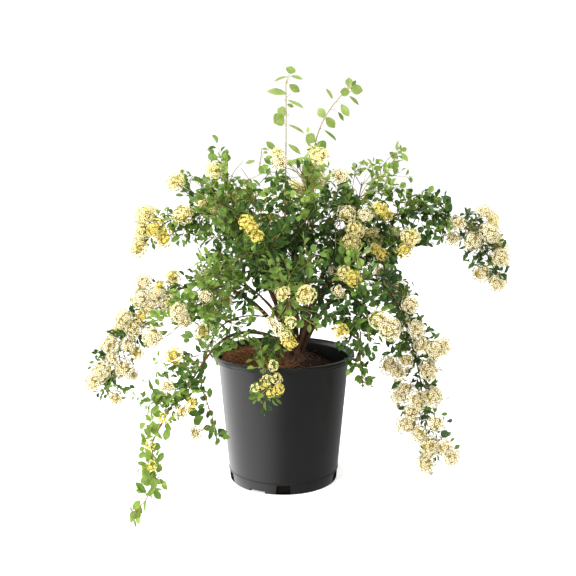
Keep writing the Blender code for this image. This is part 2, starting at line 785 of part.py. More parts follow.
def add_twig_leaves(spray, twig, headed, label, rng):
    """Adds leaves by turns on both sides of the twig, and one at its end where no head is."""
    curve = np.array([tuple(point) for point in twig.points])
    count = 1 if twig.flowers else spray.stem.mass.bushy
    turn = rng.uniform(0, math.tau)
    for index in range(count):
        root, tangent = on_curve(curve, LEAF_FIRST + LEAF_RUN * index / count)
        way = tangent * LEAF_FORWARD + outward(tangent, turn + index * math.pi) * LEAF_OUTWARD
        add_leaf(spray, (label,), root, way, rng)
    if not headed:
        tip, tangent = on_curve(curve, 0.97)
        add_leaf(spray, (label,), tip, tangent, rng)


def make_mass(stem, room, finish):
    """One mass: its twigs first, then the blossom, then leaves where there is room for them."""
    spray = Spray(stem, room)
    rng = random.Random(stem.mass.name + " leaves")
    grown = []
    for index, twig in enumerate(twigs_of(stem)):
        label = f"twig {index}"
        fitted = add_twig(spray, twig, label)
        if fitted:
            grown.append((fitted, label))
    headed = {label: twig.flowers and add_head(spray, twig, label, rng) for twig, label in grown}
    for twig, label in grown:
        add_twig_leaves(spray, twig, headed[label], label, rng)
    if stem.end == 1:
        tip, tangent = on_curve(stem.curve, 0.997)
        add_leaf(spray, ("stem",), tip, tangent, rng)
    return fuse("foliage_" + stem.mass.name, spray.pieces, finish)


def limb_trees(curves, stems):
    """Slightly fattened limbs, by the mass whose stem each one is, for keeping twigs and leaves off."""
    trees = {}
    for cane in CANES:
        curve = curves[cane.name]
        radius = cane_radius(cane)
        fat = lambda share, radius=radius: radius(share) + LIMB_CLEARANCE
        last = cane.bough or stub_share(curve)
        limb = tube(curve, 0, last, LIMB_STEPS, BOUGH_SIDES, fat)
        trees["bough " + cane.name] = shape_tree(limb)
    for stem in stems:
        trees[stem.mass.name] = shape_tree(stem_tube(stem, LIMB_CLEARANCE))
    return trees


def tree_of(owner):
    points = [tuple(owner.matrix_world @ vertex.co) for vertex in owner.data.vertices]
    return BVHTree.FromPolygons(points, [tuple(face.vertices) for face in owner.data.polygons])


def clear_scene():
    for old in list(bpy.data.objects):
        bpy.data.objects.remove(old)


def main():
    clear_scene()
    pot = make_pot()
    mix = make_mix()
    bark = material("bark", BARK_BROWN, 0.85)
    curves = {cane.name: cane_curve(cane) for cane in CANES}
    clump = make_clump(curves, bark)
    for cane in CANES:
        if cane.bough:
            make_bough(cane, curves[cane.name], bark)
    stems = stems_of(curves)
    room = Room(stems, limb_trees(curves, stems), [tree_of(pot), tree_of(mix), tree_of(clump)])
    dark = material("leaves_dark", LEAF_DARK, 0.55)
    bright = material("leaves_bright", LEAF_BRIGHT, 0.55)
    flowering = material("leaves_and_blossom", BLOSSOM_CREAM, 0.70)
    for stem in stems:
        if stem.mass.heads > stem.mass.twigs / 2:
            finish = flowering
        elif stem.mass.leaf < BRIGHT_LEAF:
            finish = bright
        else:
            finish = dark
        make_mass(stem, room, finish)


main()
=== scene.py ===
import json
import math
import random
from collections import namedtuple

import bpy
import numpy as np
from mathutils import Matrix, Vector, noise

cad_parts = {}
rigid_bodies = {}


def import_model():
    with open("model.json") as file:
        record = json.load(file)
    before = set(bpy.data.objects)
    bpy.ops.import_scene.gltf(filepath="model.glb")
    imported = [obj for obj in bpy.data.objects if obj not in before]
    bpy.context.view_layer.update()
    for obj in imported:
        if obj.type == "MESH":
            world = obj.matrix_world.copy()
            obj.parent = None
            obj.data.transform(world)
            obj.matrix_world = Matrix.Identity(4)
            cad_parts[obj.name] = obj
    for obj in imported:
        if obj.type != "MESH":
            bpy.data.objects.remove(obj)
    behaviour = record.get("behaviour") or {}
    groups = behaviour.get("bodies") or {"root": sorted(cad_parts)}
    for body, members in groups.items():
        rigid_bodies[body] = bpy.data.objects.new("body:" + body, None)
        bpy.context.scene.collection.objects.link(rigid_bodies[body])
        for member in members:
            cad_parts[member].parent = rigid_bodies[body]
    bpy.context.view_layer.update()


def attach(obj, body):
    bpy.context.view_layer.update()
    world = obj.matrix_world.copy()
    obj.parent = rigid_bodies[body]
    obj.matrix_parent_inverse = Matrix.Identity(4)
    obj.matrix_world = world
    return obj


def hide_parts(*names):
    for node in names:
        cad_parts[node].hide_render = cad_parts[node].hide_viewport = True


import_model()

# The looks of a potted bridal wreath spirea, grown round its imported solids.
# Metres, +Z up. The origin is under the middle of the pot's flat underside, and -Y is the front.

UP = Vector((0, 0, 1))
GAP = 0.0003

# The photograph's camera, fitted to the rings of the pot
CAMERA_PLACE = Vector((0.0090, -1.642, 0.643))
CAMERA_DIP = math.radians(9.03)
IMAGE_SIDE = 576
FOCAL_PIXELS = 850
SENSOR = 36

# The studio: the room's soft white light, and how bright its far and lit sides show in gloss
ROOM_LIGHT = 1.1
ROOM_GLOSS = 0.5
LIT_SIDE_GLOSS = 3.2
LIT_SIDE_FROM = 0.15
LIT_SIDE_TO = -0.8
# The lamps, each a disk of light at a place, aimed at another
Lamp = namedtuple("Lamp", "name place aim size power")
LAMPS = (
    Lamp("key", (-1.2, -1.7, 2.3), (0, 0, 0.40), 1.0, 60),
    Lamp("overhead", (0.2, -0.2, 2.7), (0, 0, 0.35), 1.6, 45),
    Lamp("side", (-2.2, -0.4, 0.8), (0, 0, 0.15), 3.0, 64),
)
# The light table under the pot: half its side, its finish and its glow
FLOOR_HALF = 12
FLOOR_TONES = ((0.93, 0.93, 0.93), (0.95, 0.95, 0.95))
FLOOR_SCALE = 2
FLOOR_ROUGHNESS = 0.9
FLOOR_GLOSS = 0.1
FLOOR_GLOW = 0.4

# The pot
POT_SIDES = 144
POT_HEIGHT = 0.255
LIP_RADIUS = 0.1405
LIP_BAND = 0.0065
LIP_WIDTH = 0.0065
STEP_BAND = 0.0055
STEP_INSET = 0.003
BODY_TOP_RADIUS = 0.1292
BASE_RADIUS = 0.1069
BASE_CHAMFER = 0.0012
POT_WALL = 0.0024
FLOOR = 0.003
RING_HEIGHT = 0.020
RING_WIDTH = 0.003
RING_PROUD = 0.0012
LIP_ROUND = 0.0028
POT_EDGE = 0.0006
BODY_TUCK = 0.0004
INNER_RIBS = 4
INNER_RIB_PROUD = 0.0007
SHARP_FROM = math.radians(42)
# The drain openings and the two notches in its foot
DRAIN_HEADINGS = (270, 342, 54, 126, 198)
DRAIN_BOTTOM = 0.029
DRAIN_TOP = 0.025
DRAIN_HEIGHT = 0.019
DRAIN_SILL = 0.0012
DRAIN_DEPTH = 0.013
NOTCH_HEADINGS = (242, 62)
NOTCH_WIDTH = 0.034
NOTCH_TAPER = 0.94
NOTCH_FOOT = -0.002
NOTCH_HEIGHT = 0.0055

# The potting mix
SOIL_TOP = 0.236
HEAP = 0.016
HEAP_MIDDLE = (-0.065, 0.0)
HEAP_WIDTH = 0.05
SINK = 0.020
SINK_FROM = 0.03
SINK_RUN = 0.07
MIX_LEVEL_RADIUS = 0.040
MIX_BLEND = 0.030
MIX_RINGS = 56
MIX_SIDES = 150
# Its lumps, and its sunk side, which is damp and darkened with painted shade
MIX_LUMPS = 0.0042
MIX_COARSE = 55
MIX_FINE = 170
MIX_COARSE_SHARE = 0.6
MIX_SHADE_SCALE = 40
MIX_SHADE_FROM = 0.018
MIX_SHADE_WANDER = 0.03
# Crumbs and coir fibres, most of them left out on the side darkened with painted shade
SHADED_SIDE_BARE = 0.93
CRUMBS = 1500
CRUMB_SIZES = (0.0007, 0.0026)
CRUMB_NARROW = (0.5, 1)
CRUMB_FLAT = 0.7
CRUMBS_OUT = 0.97
FIBRES = 3600
FIBRES_OUT = 0.985
FIBRE_SIDES = 3
FIBRE_OFF_WALL = POT_WALL * 1.6
FIBRE_LEFT = 0.5
FIBRE_RISE = 0.35
FIBRE_DROOP = 0.6
FIBRE_BEND = 0.7
FIBRE_LENGTHS = (0.008, 0.028)
FIBRE_RADII = (0.00016, 0.00036)
FIBRE_STEPS = (0, 0.33, 0.67, 1)
FIBRE_TAPER = (1, 1, 0.8, 0.4)
FIBRE_LIFT = 0.0008

# The clump
CLUMP = Vector((0.022, 0.015, SOIL_TOP + GAP))
CLUMP_PROFILE = ((0.0330, 0.0), (0.0265, 0.005), (0.0205, 0.013), (0.0185, 0.022), (0.0130, 0.030))
CLUMP_SIDES = 60
CLUMP_RINGS = 26
CLUMP_FLUTES = 5
CLUMP_FLUTE = 0.10
# Its bark, and how it is drawn out over the solid
CLUMP_GRAIN = 3.2
CLUMP_GRAIN_UP = 40
CLUMP_RIDGES = 0.10
CLUMP_PITS = 0.05
CLUMP_FINER = 3
CLUMP_SUNK = 0.004
CLUMP_STRETCH = 1.1
# Where the canes start in it, and how far those with no bough show
FOOT_SPREAD = 0.013
FOOT_DEPTH = 0.012
STUB = 0.062

# Canes and stems
CROWN_MIDDLE = Vector((0.02, 0.01, 0.36))
CURVE_STEPS = 96
WEAVE = 0.006
WEAVE_WAVES = 2.5
WEAVE_START = 4
CANE_TIP_RADIUS = 0.0012
GIRTH_FALL = 0.9
RIM_STEM_BARE = 0.45

# Bark relief, and how finely limbs are stepped
BARK_WANDER = 0.25
BUD_SWELL = 0.10
BUD_EVERY = 7
BUD_FIRST = 3
BOUGH_SIDES = 9
STEM_SIDES = {"old": 7, "tan": 7, "green": 6}
TWIG_SIDES = {"woody": 4, "green": 4, "tan": 5}
BOUGH_RELIEF = 0.13
STEM_RELIEF = 0.08
BOUGH_STEP = 0.004
STEM_STEP = 0.006
LEAST_STEPS = 8
TAN_BOUGHS = ("top_right", "top_left")
# The bark of a stem by the look of its mass, old where none is named, and the bark of each kind of twig
STEM_BARKS = {"shoot": "green", "sprig": "tan", "hanging": "tan"}
TWIG_BARKS = {"woody": "old", "green": "green", "tan": "tan"}

# Twigs
GOLDEN_ANGLE = math.radians(137.5)
NEARLY_UPRIGHT = 0.15
TWIG_JITTER = 0.3
TWIG_FIRST = 0.04
TWIG_RUN = 0.94
TWIG_SPREAD = (42, 68)
TWIG_LENGTHS = (0.78, 1.0)
TWIG_LIFT = (0.1, 0.5)
MASS_END = 0.62
MASS_RUN = 0.9
MASS_START = 0.15
FLOWER_TURN = 75
FLOWER_LENGTH = 0.72

# Twigs that grow on a twig, or on a stem between its twigs: degrees off it, shares of the mass's reach and
# how they fall along it, how far they bend up, the radius at the foot, where leaves begin and their size
Sprout = namedtuple("Sprout", "spread lengths longest shorter lift thick bare leaf")
SIDE_TWIG = Sprout((35, 65), (0.40, 0.66), 1.1, 0.4, (0.10, 0.45), 0.0007, 0.12, 0.92)
FINE_TWIG = Sprout((40, 70), (0.35, 0.62), 1.0, 0.0, (0.10, 0.50), 0.0008, 0.10, 0.90)
SIDE_FIRST = 0.18
SIDE_RUN = 0.70
SPROUT_TIP = 0.0004
SPROUT_STEPS = 4
TWIG_STEPS = 5
TWIG_RADII = (0.0011, 0.0006)
TWIG_BARE = 0.15
END_LEAVES_FROM = 0.55
END_STEPS = 16
SHOOT_SPACING = 1.3

# Leaves
LEAF_FORWARD = 0.6
LEAF_OUTWARD = 0.8
LEAF_TILT = 0.42
LEAF_ROLL = 0.75
LEAF_TRIES = 3
LEAF_SIZES = (0.72, 1.15)
LEAF_MIDDLE = 0.6
LEAF_TURN = 0.6
FIRST_LEAF = 1.06
LEAF_SMALLER = 0.34
LAST_LEAF = 0.72
SPACE_STEPS = 12
LIGHT_ABOVE = 0.5
LIGHT_OUTSIDE = 0.6
REACH_SPARE = 0.010
FLOOR_CLEARANCE = 0.006
RIM_CLEARANCE = 0.004

# A cane runs from the clump on its heading out to its reach, as in the source.
Cane = namedtuple("Cane", "name heading reach middle tip lean hang girth bough")
CANES = (
    Cane("left_arch", 190, 0.362, 0.390, 0.188, 0.20, 0.82, 0.0046, 0.36),
    Cane("left_high", 178, 0.300, 0.518, 0.445, 0.20, 0.72, 0.0044, 0.42),
    Cane("left_top", 164, 0.232, 0.500, 0.580, 0.28, 0.62, 0.0038, 0.50),
    Cane("left_front", 231, 0.402, 0.305, 0.045, 0.26, 0.76, 0.0040, 0.36),
    Cane("left_rim", 235, 0.230, 0.345, 0.125, 0.10, 1.76, 0.0026, 0.00),
    Cane("front_left", 217, 0.225, 0.398, 0.340, 0.22, 0.80, 0.0038, 0.36),
    Cane("front_sprig", 254, 0.188, 0.294, 0.208, 0.50, 1.05, 0.0026, 0.00),
    Cane("front_mid", 268, 0.205, 0.420, 0.375, 0.24, 0.80, 0.0036, 0.34),
    Cane("front_right", 303, 0.208, 0.405, 0.350, 0.24, 0.80, 0.0036, 0.34),
    Cane("right_rim", 313, 0.182, 0.335, 0.205, 0.42, 1.05, 0.0026, 0.00),
    Cane("right_low", 337, 0.262, 0.402, 0.068, 0.38, 0.88, 0.0046, 0.36),
    Cane("right_mid", 347, 0.205, 0.435, 0.455, 0.28, 0.75, 0.0030, 0.00),
    Cane("right_arch", 2, 0.396, 0.530, 0.385, 0.26, 0.80, 0.0048, 0.27),
    Cane("right_top", 24, 0.215, 0.505, 0.640, 0.30, 0.62, 0.0036, 0.50),
    Cane("top_left", 180, 0.004, 0.530, 0.777, 3.00, 0.50, 0.0030, 0.66),
    Cane("top_right", 345, 0.098, 0.616, 0.769, 0.58, -0.28, 0.0034, 0.70),
    Cane("crown_left", 200, 0.125, 0.430, 0.600, 0.28, 0.75, 0.0036, 0.40),
    Cane("crown_mid", 284, 0.095, 0.450, 0.615, 0.30, 0.75, 0.0036, 0.46),
    Cane("crown_right", 331, 0.130, 0.440, 0.590, 0.28, 0.75, 0.0036, 0.42),
    Cane("crown_front", 246, 0.150, 0.425, 0.490, 0.25, 0.75, 0.0036, 0.40),
    Cane("back_left_high", 139, 0.235, 0.480, 0.535, 0.25, 0.70, 0.0036, 0.42),
    Cane("back_left_arch", 122, 0.320, 0.430, 0.250, 0.22, 0.85, 0.0042, 0.36),
    Cane("back_crown", 82, 0.110, 0.450, 0.615, 0.30, 0.75, 0.0036, 0.44),
    Cane("back_arch", 97, 0.325, 0.445, 0.270, 0.22, 0.85, 0.0042, 0.36),
    Cane("back_right_high", 56, 0.235, 0.475, 0.540, 0.25, 0.70, 0.0036, 0.42),
    Cane("back_right_arch", 45, 0.340, 0.435, 0.240, 0.24, 0.85, 0.0042, 0.36),
)

# A mass fills one stretch of its cane, as in the source. look names how it is dressed here.
Mass = namedtuple("Mass", "name cane end reach twigs heads look")
MASSES = (
    Mass("left_arch_near", "left_arch", 0.66, 0.055, 7, 5, "arch"),
    Mass("left_arch_tip", "left_arch", 1.00, 0.050, 8, 7, "arch"),
    Mass("left_high_near", "left_high", 0.74, 0.065, 7, 2, "left"),
    Mass("left_high_tip", "left_high", 1.00, 0.050, 7, 6, "left_arch"),
    Mass("left_top", "left_top", 1.00, 0.062, 7, 2, "left"),
    Mass("left_front_upper", "left_front", 0.68, 0.062, 8, 3, "under"),
    Mass("left_front_lower", "left_front", 1.00, 0.045, 7, 1, "hanging"),
    Mass("left_rim", "left_rim", 1.00, 0.045, 5, 1, "rim"),
    Mass("front_left", "front_left", 1.00, 0.088, 9, 1, "left"),
    Mass("front_sprig", "front_sprig", 1.00, 0.042, 5, 3, "arch"),
    Mass("front_mid", "front_mid", 1.00, 0.082, 9, 4, "front"),
    Mass("front_right", "front_right", 1.00, 0.082, 9, 4, "shade"),
    Mass("right_rim", "right_rim", 1.00, 0.042, 5, 0, "rim"),
    Mass("right_low_near", "right_low", 0.64, 0.060, 7, 4, "right"),
    Mass("right_low_tip", "right_low", 1.00, 0.050, 9, 8, "right"),
    Mass("right_mid", "right_mid", 1.00, 0.065, 8, 3, "shade"),
    Mass("right_arch_near", "right_arch", 0.72, 0.060, 8, 3, "over"),
    Mass("right_arch_tip", "right_arch", 1.00, 0.050, 8, 7, "right"),
    Mass("right_top", "right_top", 1.00, 0.055, 7, 1, "sprig"),
    Mass("top_left", "top_left", 1.00, 0.034, 6, 0, "shoot"),
    Mass("top_right", "top_right", 1.00, 0.040, 6, 0, "shoot"),
    Mass("crown_left", "crown_left", 1.00, 0.088, 9, 2, "crown"),
    Mass("crown_mid", "crown_mid", 1.00, 0.085, 9, 2, "crown"),
    Mass("crown_right", "crown_right", 1.00, 0.088, 9, 3, "shade"),
    Mass("crown_front", "crown_front", 1.00, 0.085, 9, 2, "crown"),
    Mass("back_left_high", "back_left_high", 1.00, 0.085, 7, 2, "back"),
    Mass("back_left_near", "back_left_arch", 0.68, 0.075, 7, 3, "back"),
    Mass("back_left_tip", "back_left_arch", 1.00, 0.052, 7, 5, "right"),
    Mass("back_crown", "back_crown", 1.00, 0.088, 8, 2, "back"),
    Mass("back_near", "back_arch", 0.68, 0.075, 7, 2, "back"),
    Mass("back_tip", "back_arch", 1.00, 0.052, 6, 4, "right"),
    Mass("back_right_high", "back_right_high", 1.00, 0.085, 7, 2, "back"),
    Mass("back_right_near", "back_right_arch", 0.68, 0.075, 7, 3, "back"),
    Mass("back_right_tip", "back_right_arch", 1.00, 0.052, 6, 4, "right"),
)

# How a mass is dressed: side twigs on each twig, fine twigs on its stem, the space between leaves, the
# length of a leaf, the shapes of leaf that it bears, and how often each leaf colour comes up in the light
# and deep inside the crown, where the darker colours are painted shade.
Look = namedtuple("Look", "sides fine spacing leaf shapes lit inner")
LOOKS = {
    "crown": Look(4, 12, 0.0095, 0.029, "crown", {"deep": 1, "dark": 3, "mid": 4, "bright": 2},
                  {"deep": 5, "dark": 4, "mid": 2}),
    "back": Look(4, 10, 0.0105, 0.027, "crown", {"dark": 4, "mid": 4, "bright": 1},
                 {"deep": 4, "dark": 4, "mid": 1}),
    "front": Look(4, 16, 0.0095, 0.026, "crown", {"deep": 1, "dark": 3, "mid": 4, "bright": 2},
                  {"deep": 3, "dark": 4, "mid": 2}),
    # Darker colours for the masses on the right of the plant: painted shade
    "shade": Look(4, 18, 0.0090, 0.026, "crown", {"deep": 2, "dark": 4, "mid": 2, "bright": 1},
                  {"deep": 5, "dark": 4, "mid": 1}),
    "over": Look(4, 40, 0.0090, 0.026, "crown", {"deep": 1, "dark": 4, "mid": 3, "bright": 1},
                 {"deep": 2, "dark": 4, "mid": 2}),
    "left": Look(4, 18, 0.0085, 0.028, "oval", {"dark": 1, "mid": 5, "bright": 4},
                 {"dark": 4, "mid": 4, "bright": 1}),
    "under": Look(4, 20, 0.0085, 0.024, "narrow", {"dark": 3, "mid": 5, "bright": 2}, {"dark": 4, "mid": 3}),
    "arch": Look(2, 26, 0.0085, 0.024, "narrow", {"dark": 4, "mid": 4, "bright": 1}, {"dark": 4, "mid": 3}),
    "left_arch": Look(2, 20, 0.0090, 0.024, "narrow", {"dark": 1, "mid": 4, "bright": 3},
                      {"dark": 3, "mid": 4}),
    # Darker colours for the low right, the right arch's tip and the tips at the back: painted shade
    "right": Look(3, 28, 0.0080, 0.024, "narrow", {"deep": 2, "dark": 3, "blue": 4, "mid": 1},
                  {"deep": 3, "dark": 4, "blue": 2}),
    "hanging": Look(1, 10, 0.0100, 0.027, "oval", {"bright": 5, "young": 2}, {"bright": 1}),
    "rim": Look(2, 8, 0.0100, 0.024, "crown", {"dark": 3, "mid": 5}, {"dark": 1}),
    "sprig": Look(2, 8, 0.0110, 0.025, "crown", {"mid": 4, "bright": 4}, {"dark": 3, "mid": 3}),
    "shoot": Look(0, 2, 0.0180, 0.030, "broad", {"bright": 2, "young": 4}, {"bright": 2, "young": 4}),
}
# Above this height leaves take these lighter colours instead, save where their look has young ones: painted
# light on the top of the crown, with a few young leaves.
LIT_CROWN_HEIGHT = 0.575
LIT_CROWN_TONES = {"dark": 1, "mid": 4, "bright": 5, "young": 1}
# Within this distance of its middle the crown is deep, and its leaves take darker colours: painted shade.
PAINTED_SHADE_RADIUS = 0.19

# Finishes: the detail of the patterns, the stops of the two tones, the gloss of what is thin or rough, and
# the pot's plastic
TONE_DETAIL = 4
TONE_STOPS = (0.32, 0.68)
RELIEF_DETAIL = 3
THIN_GLOSS = 0.28
GLOW_SHADE = 1.15
ROUGH_GLOSS = 0.12
ROUGH_RELIEF = 0.6
BARK_STRETCH = (1, 1, 0.3)
PLASTIC_GLOSS = 0.30
# The inner wall's gloss, lowered so that it shows dark: painted shade inside the pot
INSIDE_SHADE_GLOSS = 0.05
PLASTIC_TONES = ((0.0050, 0.0050, 0.0050), (0.0070, 0.0070, 0.0068))
PLASTIC_SCALE = 9
PLASTIC_GRAIN = (900, 0.25, 0.0002)
PLASTIC_ROUGHNESS = 0.3
PLASTIC_SMOOTHEST = 0.27
PLASTIC_ROUGHEST = 0.34
# Rough finishes: the dark and the light tone, the scale of their pattern per metre, the roughness, and the
# scale and the depth of the relief
ROUGH = {
    "coir_mix": ((0.036, 0.016, 0.007), (0.200, 0.090, 0.036), 150, 0.95, 420, 0.0014),
    # The mix's sunk side: damp, and darkened further with painted shade
    "peat_mix": ((0.006, 0.003, 0.002), (0.034, 0.016, 0.008), 150, 0.95, 420, 0.0014),
    # The mix's side, seen through the drains: damp, and near black with painted shade
    "damp_mix": ((0.002, 0.0014, 0.001), (0.007, 0.004, 0.003), 130, 0.9, 420, 0.0012),
    "mix_crumbs": ((0.030, 0.014, 0.007), (0.150, 0.075, 0.036), 240, 0.95, 600, 0.0006),
    "coir_tan": ((0.330, 0.150, 0.062), (0.560, 0.310, 0.150), 300, 0.9, 900, 0.0002),
    "coir_brown": ((0.110, 0.044, 0.018), (0.260, 0.110, 0.044), 300, 0.9, 900, 0.0002),
    "bark_old": ((0.045, 0.022, 0.014), (0.150, 0.080, 0.050), 160, 0.85, 500, 0.0006),
    "bark_tan": ((0.190, 0.098, 0.040), (0.350, 0.205, 0.096), 120, 0.75, 500, 0.0003),
    "bark_green": ((0.200, 0.185, 0.050), (0.350, 0.290, 0.105), 90, 0.65, 500, 0.0002),
    "heart_cream": ((0.070, 0.034, 0.008), (0.260, 0.150, 0.036), 400, 0.8, 900, 0.0001),
    "heart_pale": ((0.140, 0.100, 0.014), (0.400, 0.310, 0.050), 400, 0.8, 900, 0.0001),
    "heart_gold": ((0.170, 0.130, 0.012), (0.460, 0.340, 0.030), 400, 0.8, 900, 0.0001),
    "buds": ((0.420, 0.460, 0.080), (0.700, 0.600, 0.120), 300, 0.7, 900, 0.0001),
    "stalks": ((0.300, 0.360, 0.060), (0.520, 0.500, 0.120), 200, 0.7, 900, 0.0001),
    # Head cores: the stalks' and buds' own olive-brown, darkened as painted shade in the gaps between florets
    "head_cores": ((0.150, 0.115, 0.026), (0.400, 0.310, 0.090), 420, 0.8, 700, 0.0006),
}

# Thin finishes: how far the two tones spread, the roughness, the light let through, and the pattern's scale
LEAF_FINISH = (0.28, 0.42, 0.26, 55)
PETAL_FINISH = (0.06, 0.7, 0.25, 90)

# Base colours of leaves and petals
LEAF_TONES = {
    "deep": (0.016, 0.046, 0.007),
    "dark": (0.034, 0.084, 0.011),
    "blue": (0.050, 0.102, 0.036),
    "mid": (0.098, 0.172, 0.024),
    "bright": (0.180, 0.275, 0.044),
    "young": (0.180, 0.245, 0.056),
}
PETAL_TONES = {
    "cream": (0.850, 0.785, 0.540),
    "pale": (0.845, 0.760, 0.390),
    "gold": (0.780, 0.655, 0.160),
}

# Heads of blossom that show in the photograph: the pixel at the middle of each, and its size beside a
# whole head's where less of it shows
SEEN_HEADS = {
    "gold": (
        (164, 238, 0.9), (154, 227, 0.9), (246, 221, 0.6), (251, 228, 0.55), (257, 236, 0.55),
        (381, 208, 0.6), (387, 214, 0.6), (375, 248, 0.6), (382, 254, 0.6), (354, 278, 0.7),
        (405, 250, 0.7), (341, 331, 0.6), (173, 355, 0.7), (163, 419, 0.4), (152, 466, 0.35),
        (150, 445, 0.35), (192, 404, 0.4), (142, 316, 0.6), (159, 287, 0.6), (262, 385, 0.4),
        (279, 389, 0.45), (271, 393, 0.35), (290, 342, 0.6),
    ),
    "pale": (
        (176, 181, 0.9), (214, 169, 0.8), (143, 214, 1), (141, 230, 0.9), (183, 214, 0.9), (138, 248, 0.9),
        (205, 203, 0.8), (215, 206, 0.8), (411, 236, 0.9), (356, 228, 0.8), (352, 243, 0.9),
        (306, 294, 0.8), (172, 276, 0.8), (268, 380, 0.4), (277, 379, 0.5), (273, 366, 0.45),
        (320, 155, 0.8), (495, 217, 0.8), (290, 322, 0.5), (285, 336, 0.5), (345, 273, 0.7),
        (137, 353, 0.7), (283, 293, 0.6), (255, 388, 0.35), (277, 152, 0.5), (313, 150, 0.45),
    ),
    "cream": (
        (142, 282, 1), (140, 297, 1), (155, 295, 0.9), (168, 303, 0.9), (178, 312, 0.9), (184, 321, 0.6),
        (205, 297, 0.6), (122, 318, 1), (133, 328, 1), (152, 336, 1), (109, 344, 1), (123, 368, 1),
        (100, 371, 1), (92, 383, 0.9), (115, 398, 0.8), (166, 386, 0.6), (182, 412, 0.6), (195, 433, 0.6),
        (270, 323, 0.5), (278, 330, 0.5), (338, 292, 0.6), (347, 213, 0.8), (366, 214, 0.7),
        (340, 175, 0.75), (279, 161, 0.7), (453, 238, 0.8), (459, 223, 0.8), (474, 241, 1), (485, 211, 0.9),
        (492, 232, 1), (502, 257, 1), (481, 273, 0.9), (497, 284, 0.8), (379, 320, 0.8), (391, 328, 1),
        (417, 329, 0.9), (411, 305, 0.8), (422, 345, 0.8), (437, 350, 1), (445, 346, 0.8), (390, 365, 1),
        (406, 360, 0.8), (430, 369, 1), (405, 388, 0.8), (400, 396, 1), (419, 400, 1), (434, 397, 0.9),
        (407, 425, 1), (437, 423, 0.8), (420, 435, 0.8), (430, 447, 1), (445, 448, 0.9), (453, 457, 0.9),
        (426, 464, 0.9), (112, 358, 0.7), (128, 345, 0.7), (148, 308, 0.8), (133, 375, 0.6),
        (398, 372, 0.8), (412, 412, 0.8),
    ),
}
# Leafy twigs that show in the photograph, by the pixel near the end of each
SEEN_SPRAYS = (
    (200, 272), (190, 285), (205, 285), (218, 275), (232, 268), (230, 290), (245, 300), (225, 312),
    (240, 325), (215, 325), (252, 318), (205, 318), (196, 308), (248, 334), (232, 338), (320, 312),
    (333, 318), (345, 305), (326, 300), (315, 325), (340, 340), (362, 290), (372, 286), (390, 303),
    (398, 315), (380, 295), (366, 305), (355, 345), (362, 362), (369, 378), (400, 345), (412, 350),
    (396, 378), (415, 382), (398, 412), (412, 412), (405, 222), (418, 232), (432, 228), (440, 238),
    (412, 194), (424, 190), (436, 198), (395, 232), (388, 224), (398, 214), (384, 236), (410, 214),
    (422, 218), (430, 210), (442, 216), (446, 228), (388, 200), (400, 204), (416, 206), (428, 202),
    (444, 206), (394, 192), (404, 240), (420, 226), (400, 186), (412, 184), (424, 198), (436, 222),
    (392, 244), (382, 230), (396, 250), (388, 262), (463, 250), (470, 258), (478, 256), (488, 246),
    (450, 212), (205, 405), (214, 422), (221, 438), (200, 390), (175, 232), (186, 240), (197, 224),
    (170, 222), (203, 238), (140, 322), (150, 345), (162, 333), (118, 333), (128, 385), (108, 392),
    (145, 310), (165, 290), (243, 160), (262, 172), (270, 152), (252, 180), (232, 175), (224, 160),
    (208, 160), (385, 170), (176, 232), (180, 240), (175, 245), (185, 236), (200, 228), (206, 232),
    (203, 240), (208, 255), (200, 258), (155, 320), (158, 326), (266, 175), (272, 180), (270, 195),
    (278, 200), (280, 165), (235, 312), (245, 306), (252, 312), (240, 320), (234, 320), (130, 357),
    (112, 385), (404, 232), (412, 228), (420, 232), (428, 236), (436, 230), (444, 232), (450, 236),
    (456, 230), (448, 222), (440, 212), (446, 206), (452, 228), (460, 226), (464, 236), (418, 212),
    (426, 208), (434, 216), (410, 222), (426, 222), (438, 226), (390, 258), (398, 262), (394, 270),
    (400, 276), (228, 334), (236, 330), (242, 336), (250, 338), (222, 340), (232, 344), (214, 336),
    (206, 330), (246, 328), (165, 300), (172, 292), (180, 300), (188, 300), (150, 305), (160, 315),
    (146, 322), (130, 312), (128, 322), (120, 330), (112, 332), (138, 338), (146, 345), (120, 352),
    (130, 360), (112, 378), (106, 360), (100, 352), (96, 362), (118, 392), (122, 380), (104, 388),
    (190, 292), (198, 285), (176, 285), (168, 290), (184, 220), (192, 226), (172, 218), (166, 212),
    (196, 236), (188, 214), (178, 226), (200, 214), (208, 222), (340, 340), (345, 345), (352, 365),
    (362, 368), (365, 380), (372, 350), (378, 298), (388, 310), (393, 344), (398, 352), (425, 236),
    (430, 240), (325, 318), (410, 300), (415, 310), (408, 318), (400, 330), (416, 335), (422, 355),
    (412, 360), (425, 380), (415, 395), (418, 412), (425, 430), (432, 440), (402, 352), (396, 340),
    (404, 310), (420, 322), (408, 340), (418, 366), (470, 225), (478, 235), (488, 225), (484, 262),
    (470, 265), (480, 248), (496, 244), (498, 262), (492, 272), (170, 372), (178, 378), (186, 370),
    (176, 392), (168, 400), (184, 398), (192, 392), (160, 392), (180, 362), (172, 384), (188, 380),
    (164, 378), (196, 366), (190, 386), (178, 404), (128, 318), (136, 334), (118, 344), (112, 366),
    (108, 376), (146, 328), (156, 318), (124, 390), (132, 396),
)
# A head of blossom: its size, the flatness of its dome, how far the dome and the foot of its stalks lie below
# its middle, its lumps, and the noise below which it is bare
HEAD_RADIUS = 0.0190
HEAD_DOME = 0.74
HEAD_SINK = 0.2
HEAD_FOOT = 0.80
HEAD_LUMPS = 0.38
HEAD_LUMP_SCALE = 2.0
HEAD_SEEDS = 50
HEAD_HOLES = -0.42
HEAD_JITTER = 0.0014
